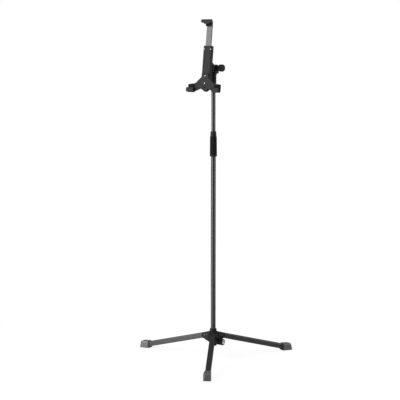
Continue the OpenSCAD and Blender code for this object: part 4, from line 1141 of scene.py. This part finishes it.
cradle_low, cradle_high = measure("cradle", head_bench)
hook_low, hook_high = measure("hook_right", head_bench)
seat_low, seat_high = measure("seat_pad_right", head_bench)
hook_floor = seat_low.z
chamfer_v = cradle_low.z + HOOK_CHAMFER
right_half = [
    (HOOK_U - HOOK_HALF, chamfer_v), (HOOK_U - HOOK_HALF + HOOK_CHAMFER, cradle_low.z),
    (HOOK_U + HOOK_HALF - HOOK_CHAMFER, cradle_low.z), (HOOK_U + HOOK_HALF, chamfer_v),
    (HOOK_U + HOOK_HALF, hook_floor + ARM_H), (HOOK_U - HOOK_HALF, hook_floor + ARM_H + ARM_RISE),
    (CRADLE_HALF, cradle_high.z - ARM_NECK), (CRADLE_HALF, cradle_high.z)]
left_half = [(-u, v) for u, v in reversed(right_half)]
cradle = slab([(0, hook_floor + ARM_H / 2)] + right_half + left_half, cradle_high.y, cradle_low.y)
round_off(cradle, lambda edge: runs(edge, Y), CORNER_ROUND)
sink_front(soften(cradle, FINE_ROUND), cradle_low.y, CRADLE_SINK)
bore_screws(cradle, CRADLE_SCREWS, cradle_front - SCREW_HEAD_T)
hook_screw_v = (cradle_low.z + hook_floor) / 2
hook_screws = [(side * HOOK_U + across, hook_screw_v) for side in (-1, 1)
               for across in (-HOOK_SCREW_ACROSS, HOOK_SCREW_ACROSS)]
bore_screws(cradle, hook_screws, cover_front + SCREW_HEAD_T, points_back=True)
settle(cradle, "cradle_moulding", "cradle", head_bench)

# %% [markdown]
# A hook is a floor with a lip in front. It is a slab with the outline of the hook seen from the
# front, with the room for the device cut out behind the lip. The left hook is the same shape, moved.

# %% The hooks
LIP_T = 3

lip_top = hook_high.z
hook_outline = [
    (HOOK_U - HOOK_HALF, lip_top), (HOOK_U + HOOK_HALF, lip_top), (HOOK_U + HOOK_HALF, chamfer_v),
    (HOOK_U + HOOK_HALF - HOOK_CHAMFER, hook_low.z), (HOOK_U - HOOK_HALF + HOOK_CHAMFER, hook_low.z),
    (HOOK_U - HOOK_HALF, chamfer_v)]
hook = slab(hook_outline, hook_high.y, hook_low.y)
round_off(hook, lambda edge: runs(edge, Y), CORNER_ROUND)
hook_room = block((HOOK_U - 2 * HOOK_HALF, hook_low.y + LIP_T, hook_floor),
                  (HOOK_U + 2 * HOOK_HALF, hook_high.y + OVER, lip_top + OVER))
combine("DIFFERENCE", hook, hook_room)
sink_front(soften(hook, FINE_ROUND), hook_low.y, PANEL_SINK)
right_screws = [(u, v) for u, v in hook_screws if u > 0]
bore_screws(hook, right_screws, cover_front + SCREW_HEAD_T, points_back=True)
left_hook = carry(duplicate(hook), Matrix.Translation((-2 * HOOK_U, 0, 0)))
settle(left_hook, "hook_moulding_left", "hook_left", head_bench)
settle(hook, "hook_moulding_right", "hook_right", head_bench)

# %% [markdown]
# ## The jaw
#
# The upper jaw slides on a flat steel rail. It is a rounded bar with a short tongue in the middle of
# its lip and a plate behind the device, and the room for the device is cut out from below. From above
# it narrows from the lip to the rail, so what was joined is cut back to that plan at the end.

# %% The upper jaw
JAW_ROUND, TONGUE_HALF, TONGUE_ROUND, JAW_LAP = 5, 12, 2.5, 4
JAW_BACK_HALF, CRADLE_BACK_N, LIP_DROP, TONGUE_DROP = 12, 50.4, 2, 6.2
JAW_SCREWS = [(-6, 161.6), (6, 161.6)]

jaw_low, jaw_high = measure("upper_jaw", head_bench)
pad_low, pad_high = measure("jaw_pad", head_bench)
device_top, jaw_roof = pad_low.z, pad_high.z
lip_bottom, tongue_bottom = device_top - LIP_DROP, device_top - TONGUE_DROP


def rounded_slab(half_width, bottom, top, radius, start, end):
    """A slab with a rounded rectangle for its outline."""
    corners = [(-half_width, bottom), (half_width, bottom), (half_width, top), (-half_width, top)]
    return round_off(slab(corners, start, end), lambda edge: runs(edge, Y), radius)


def jaw_plan(margin):
    """A block with the plan of the jaw, less a margin on each side."""
    lip, back = jaw_high.x - margin, JAW_BACK_HALF - margin
    front_n, lip_n, back_n = OVER - jaw_low.y, -jaw_low.y - LIP_T, -jaw_high.y - OVER
    plan = [(-lip, front_n), (lip, front_n), (lip, lip_n), (back, CRADLE_BACK_N), (back, back_n),
            (-back, back_n), (-back, CRADLE_BACK_N), (-lip, lip_n)]
    return carry(slab(plan, jaw_low.z - OVER, jaw_high.z + OVER), ALONG_N)


jaw = rounded_slab(jaw_high.x, lip_bottom, jaw_high.z, JAW_ROUND, jaw_high.y, jaw_low.y)
lap = device_top + JAW_LAP
tongue = rounded_slab(TONGUE_HALF, tongue_bottom, lap, TONGUE_ROUND, jaw_high.y, jaw_low.y)
jaw_back = block((-JAW_BACK_HALF, -cradle_front, jaw_low.z), (JAW_BACK_HALF, jaw_high.y, lap))
round_off(jaw_back, lambda edge: runs(edge, Y) and middle(edge).z < device_top, TONGUE_ROUND)
combine("UNION", jaw, tongue, jaw_back)
jaw_room = block((-2 * jaw_high.x, jaw_low.y + LIP_T, jaw_low.z - OVER),
                 (2 * jaw_high.x, -cradle_front, jaw_roof))
combine("DIFFERENCE", jaw, jaw_room)
waist = round_off(jaw_plan(0), lambda edge: runs(edge, Z) and middle(edge).y > jaw_low.y, MOULDED_ROUND)
combine("INTERSECT", jaw, waist)
soften(jaw, FINE_ROUND)
bore_screws(jaw, JAW_SCREWS, -rail_high.y, points_back=True)
settle(jaw, "jaw_moulding", "upper_jaw", head_bench)

# %% [markdown]
# The rail is a flat steel bar with a groove down its back, where the tip of the lock screw runs.

# %% The slide rail
GROOVE_HALF, GROOVE_DEEP, GROOVE_UP, GROOVE_DOWN = 3.3, 1.5, 68, 40

rail = block(rail_low, rail_high)
soften(rail, FINE_ROUND)
rail_groove = block((-GROOVE_HALF, rail_high.y - GROOVE_DEEP, lock_v - GROOVE_DOWN - GROOVE_HALF),
                    (GROOVE_HALF, rail_high.y + OVER, lock_v + GROOVE_UP + GROOVE_HALF))
round_off(rail_groove, lambda edge: runs(edge, Y), GROOVE_HALF - HOLE_FIT)
combine("DIFFERENCE", rail, rail_groove)
bore_screws(rail, JAW_SCREWS, -rail_high.y, points_back=True)
settle(rail, "steel_rail", "slide_rail", head_bench)

# %% [markdown]
# The rail lock is the small knob high on the back of the spine. Its end faces backwards.

# %% The rail lock knob
LOCK_END_WALL, LOCK_SCREW_R, LOCK_FLUTE_DEPTH = 3, 3.05, 1

lock_bench = bench(head_bench @ Vector((0, 0, lock_v)), (1, 0, 0), joint["rail_lock_turn"]["axis"])
lock_low, lock_high = measure("rail_lock_knob", lock_bench)
lock_grip = fluted_knob(lock_high.x, lock_low.z, lock_high.z, LOCK_FLUTE_DEPTH, KNOB_DISH)
lock_hole = rod(LOCK_SCREW_R, lock_low.z - OVER, lock_high.z - LOCK_END_WALL, steps=32)
combine("DIFFERENCE", lock_grip, lock_hole)
settle(lock_grip, "rail_lock_grip", "rail_lock_knob", lock_bench)

# %% [markdown]
# ## Rubber pads
#
# Wherever the device touches the holder there is a thin rubber pad, ribbed so that it grips. A pad
# is a plate with a row of bars on it: one bar is rounded, an array repeats it, and both are joined.

# %% The ribbed pads
PAD_RIB_PITCH, PAD_RIB_W, PAD_RIB_H, PAD_ROUND, JAW_PAD_IN = 2.4, 1.3, 0.6, 3, 3


def ribbed_pad(low, high, face_axis, face_sign, rib_axis, corner_round=0):
    """A pad that fills a box, with ribs along one axis on the face that looks along another."""
    step_axis = X + Y + Z - face_axis - rib_axis
    base_low, base_high, rib_low, rib_high = low.copy(), high.copy(), low.copy(), high.copy()
    if face_sign > 0:
        base_high[face_axis] = rib_low[face_axis] = high[face_axis] - PAD_RIB_H
        rib_low[face_axis] -= PAD_RIB_H
    else:
        base_low[face_axis] = rib_high[face_axis] = low[face_axis] + PAD_RIB_H
        rib_high[face_axis] += PAD_RIB_H
    pad = block(base_low, base_high)
    if corner_round:
        round_off(pad, lambda edge: runs(edge, face_axis), corner_round)
    soften(pad, PAD_RIB_H / 2, segments=2)
    count = int((high[step_axis] - low[step_axis] - 2 * PAD_RIB_W) // PAD_RIB_PITCH) + 1
    margin = (high[step_axis] - low[step_axis] - (count - 1) * PAD_RIB_PITCH - PAD_RIB_W) / 2
    rib_low[step_axis] += margin
    rib_high[step_axis] = rib_low[step_axis] + PAD_RIB_W
    rib_low[rib_axis] += max(PAD_RIB_W, corner_round)
    rib_high[rib_axis] -= max(PAD_RIB_W, corner_round)
    rib = soften(block(rib_low, rib_high), PAD_RIB_H / 2, segments=2)
    step = [PAD_RIB_PITCH if axis == step_axis else 0 for axis in (X, Y, Z)]
    return combine("UNION", pad, repeat(rib, count, step))


rest_low, rest_high = measure("rest_pad_right", head_bench)
for side, move in (("right", 0), ("left", -2 * HOOK_U)):
    to_side = Matrix.Translation((move, 0, 0))
    seat_pad = ribbed_pad(seat_low, seat_high, Z, 1, Y)
    settle(carry(seat_pad, to_side), f"ribbed_seat_{side}", f"seat_pad_{side}", head_bench)
    rest_pad = ribbed_pad(rest_low, rest_high, Y, -1, X, PAD_ROUND)
    settle(carry(rest_pad, to_side), f"ribbed_rest_{side}", f"rest_pad_{side}", head_bench)
jaw_rest_low, jaw_rest_high = measure("jaw_rest_pad", head_bench)
roof_pad = combine("INTERSECT", ribbed_pad(pad_low, pad_high, Z, -1, Y), jaw_plan(JAW_PAD_IN))
settle(roof_pad, "ribbed_jaw_roof", "jaw_pad", head_bench)
settle(ribbed_pad(jaw_rest_low, jaw_rest_high, Y, -1, X, PAD_ROUND), "ribbed_jaw_rest",
       "jaw_rest_pad", head_bench)

# %% [markdown]
# ## Screws
#
# The holder is screwed together with a dozen pan-head screws. One is turned, a cross recess is cut
# into its head, and a copy goes to each hole.

# %% The screws
RECESS_LENGTH, RECESS_WIDTH, RECESS_DEPTH = 3.2, 0.8, 1
CRADLE_SCREW_LENGTH, RIM_H, PAN_STEPS = 6.3, 0.56, 6


def pan_head_screw(length):
    """A screw with its head on z = 0 and its shank running down."""
    dome = [(SCREW_HEAD_R * math.sin(a), RIM_H + (SCREW_HEAD_T - RIM_H) * math.cos(a))
            for a in quarter_turn(PAN_STEPS)]
    shank = [(SCREW_HEAD_R, 0), (SCREW_SHANK_R, 0), (SCREW_SHANK_R, -length), (0, -length)]
    screw = turned(dome + shank, steps=SCREW_SIDES)
    arms = [block((-a / 2, -b / 2, SCREW_HEAD_T - RECESS_DEPTH), (a / 2, b / 2, SCREW_HEAD_T + OVER))
            for a, b in ((RECESS_LENGTH, RECESS_WIDTH), (RECESS_WIDTH, RECESS_LENGTH))]
    return combine("DIFFERENCE", screw, *arms)


def settle_screws(name, node, places, n, length, points_back=False):
    """Puts a copy of one screw in each of several places at one depth."""
    screw = pan_head_screw(length)
    for number, (u, v) in enumerate(places, 1):
        there = head_bench @ screw_place(u, n, v, points_back)
        settle(duplicate(screw), f"{name}_{number}", node, there)
    bpy.data.objects.remove(screw)


settle_screws("cover_screw", "holder_screws", COVER_SCREWS, cover_front - SCREW_HEAD_T, SCREW_LENGTH)
settle_screws("cradle_screw", "holder_screws", CRADLE_SCREWS, cradle_front - SCREW_HEAD_T,
              CRADLE_SCREW_LENGTH)
settle_screws("hook_screw", "holder_screws", hook_screws, cover_front + SCREW_HEAD_T, SCREW_LENGTH, True)
settle_screws("jaw_screw", "jaw_screws", JAW_SCREWS, -rail_high.y, SCREW_LENGTH, True)

# %% [markdown]
# ## The pieces that stay as CAD made them
#
# Tubes, plugs, inserts, washers and the clamp screws already have their true shape. They keep their
# CAD mesh, and each takes the finish of the material slot that the record gives it.

# %% Finishes for the CAD nodes
for node, piece in frame["nodes"].items():
    piece.data.materials.clear()
    piece.data.materials.append(finish_of_slot[slot_of_node[node]])
print("shown as CAD made them:", sum(not piece.hide_render for piece in frame["nodes"].values()))
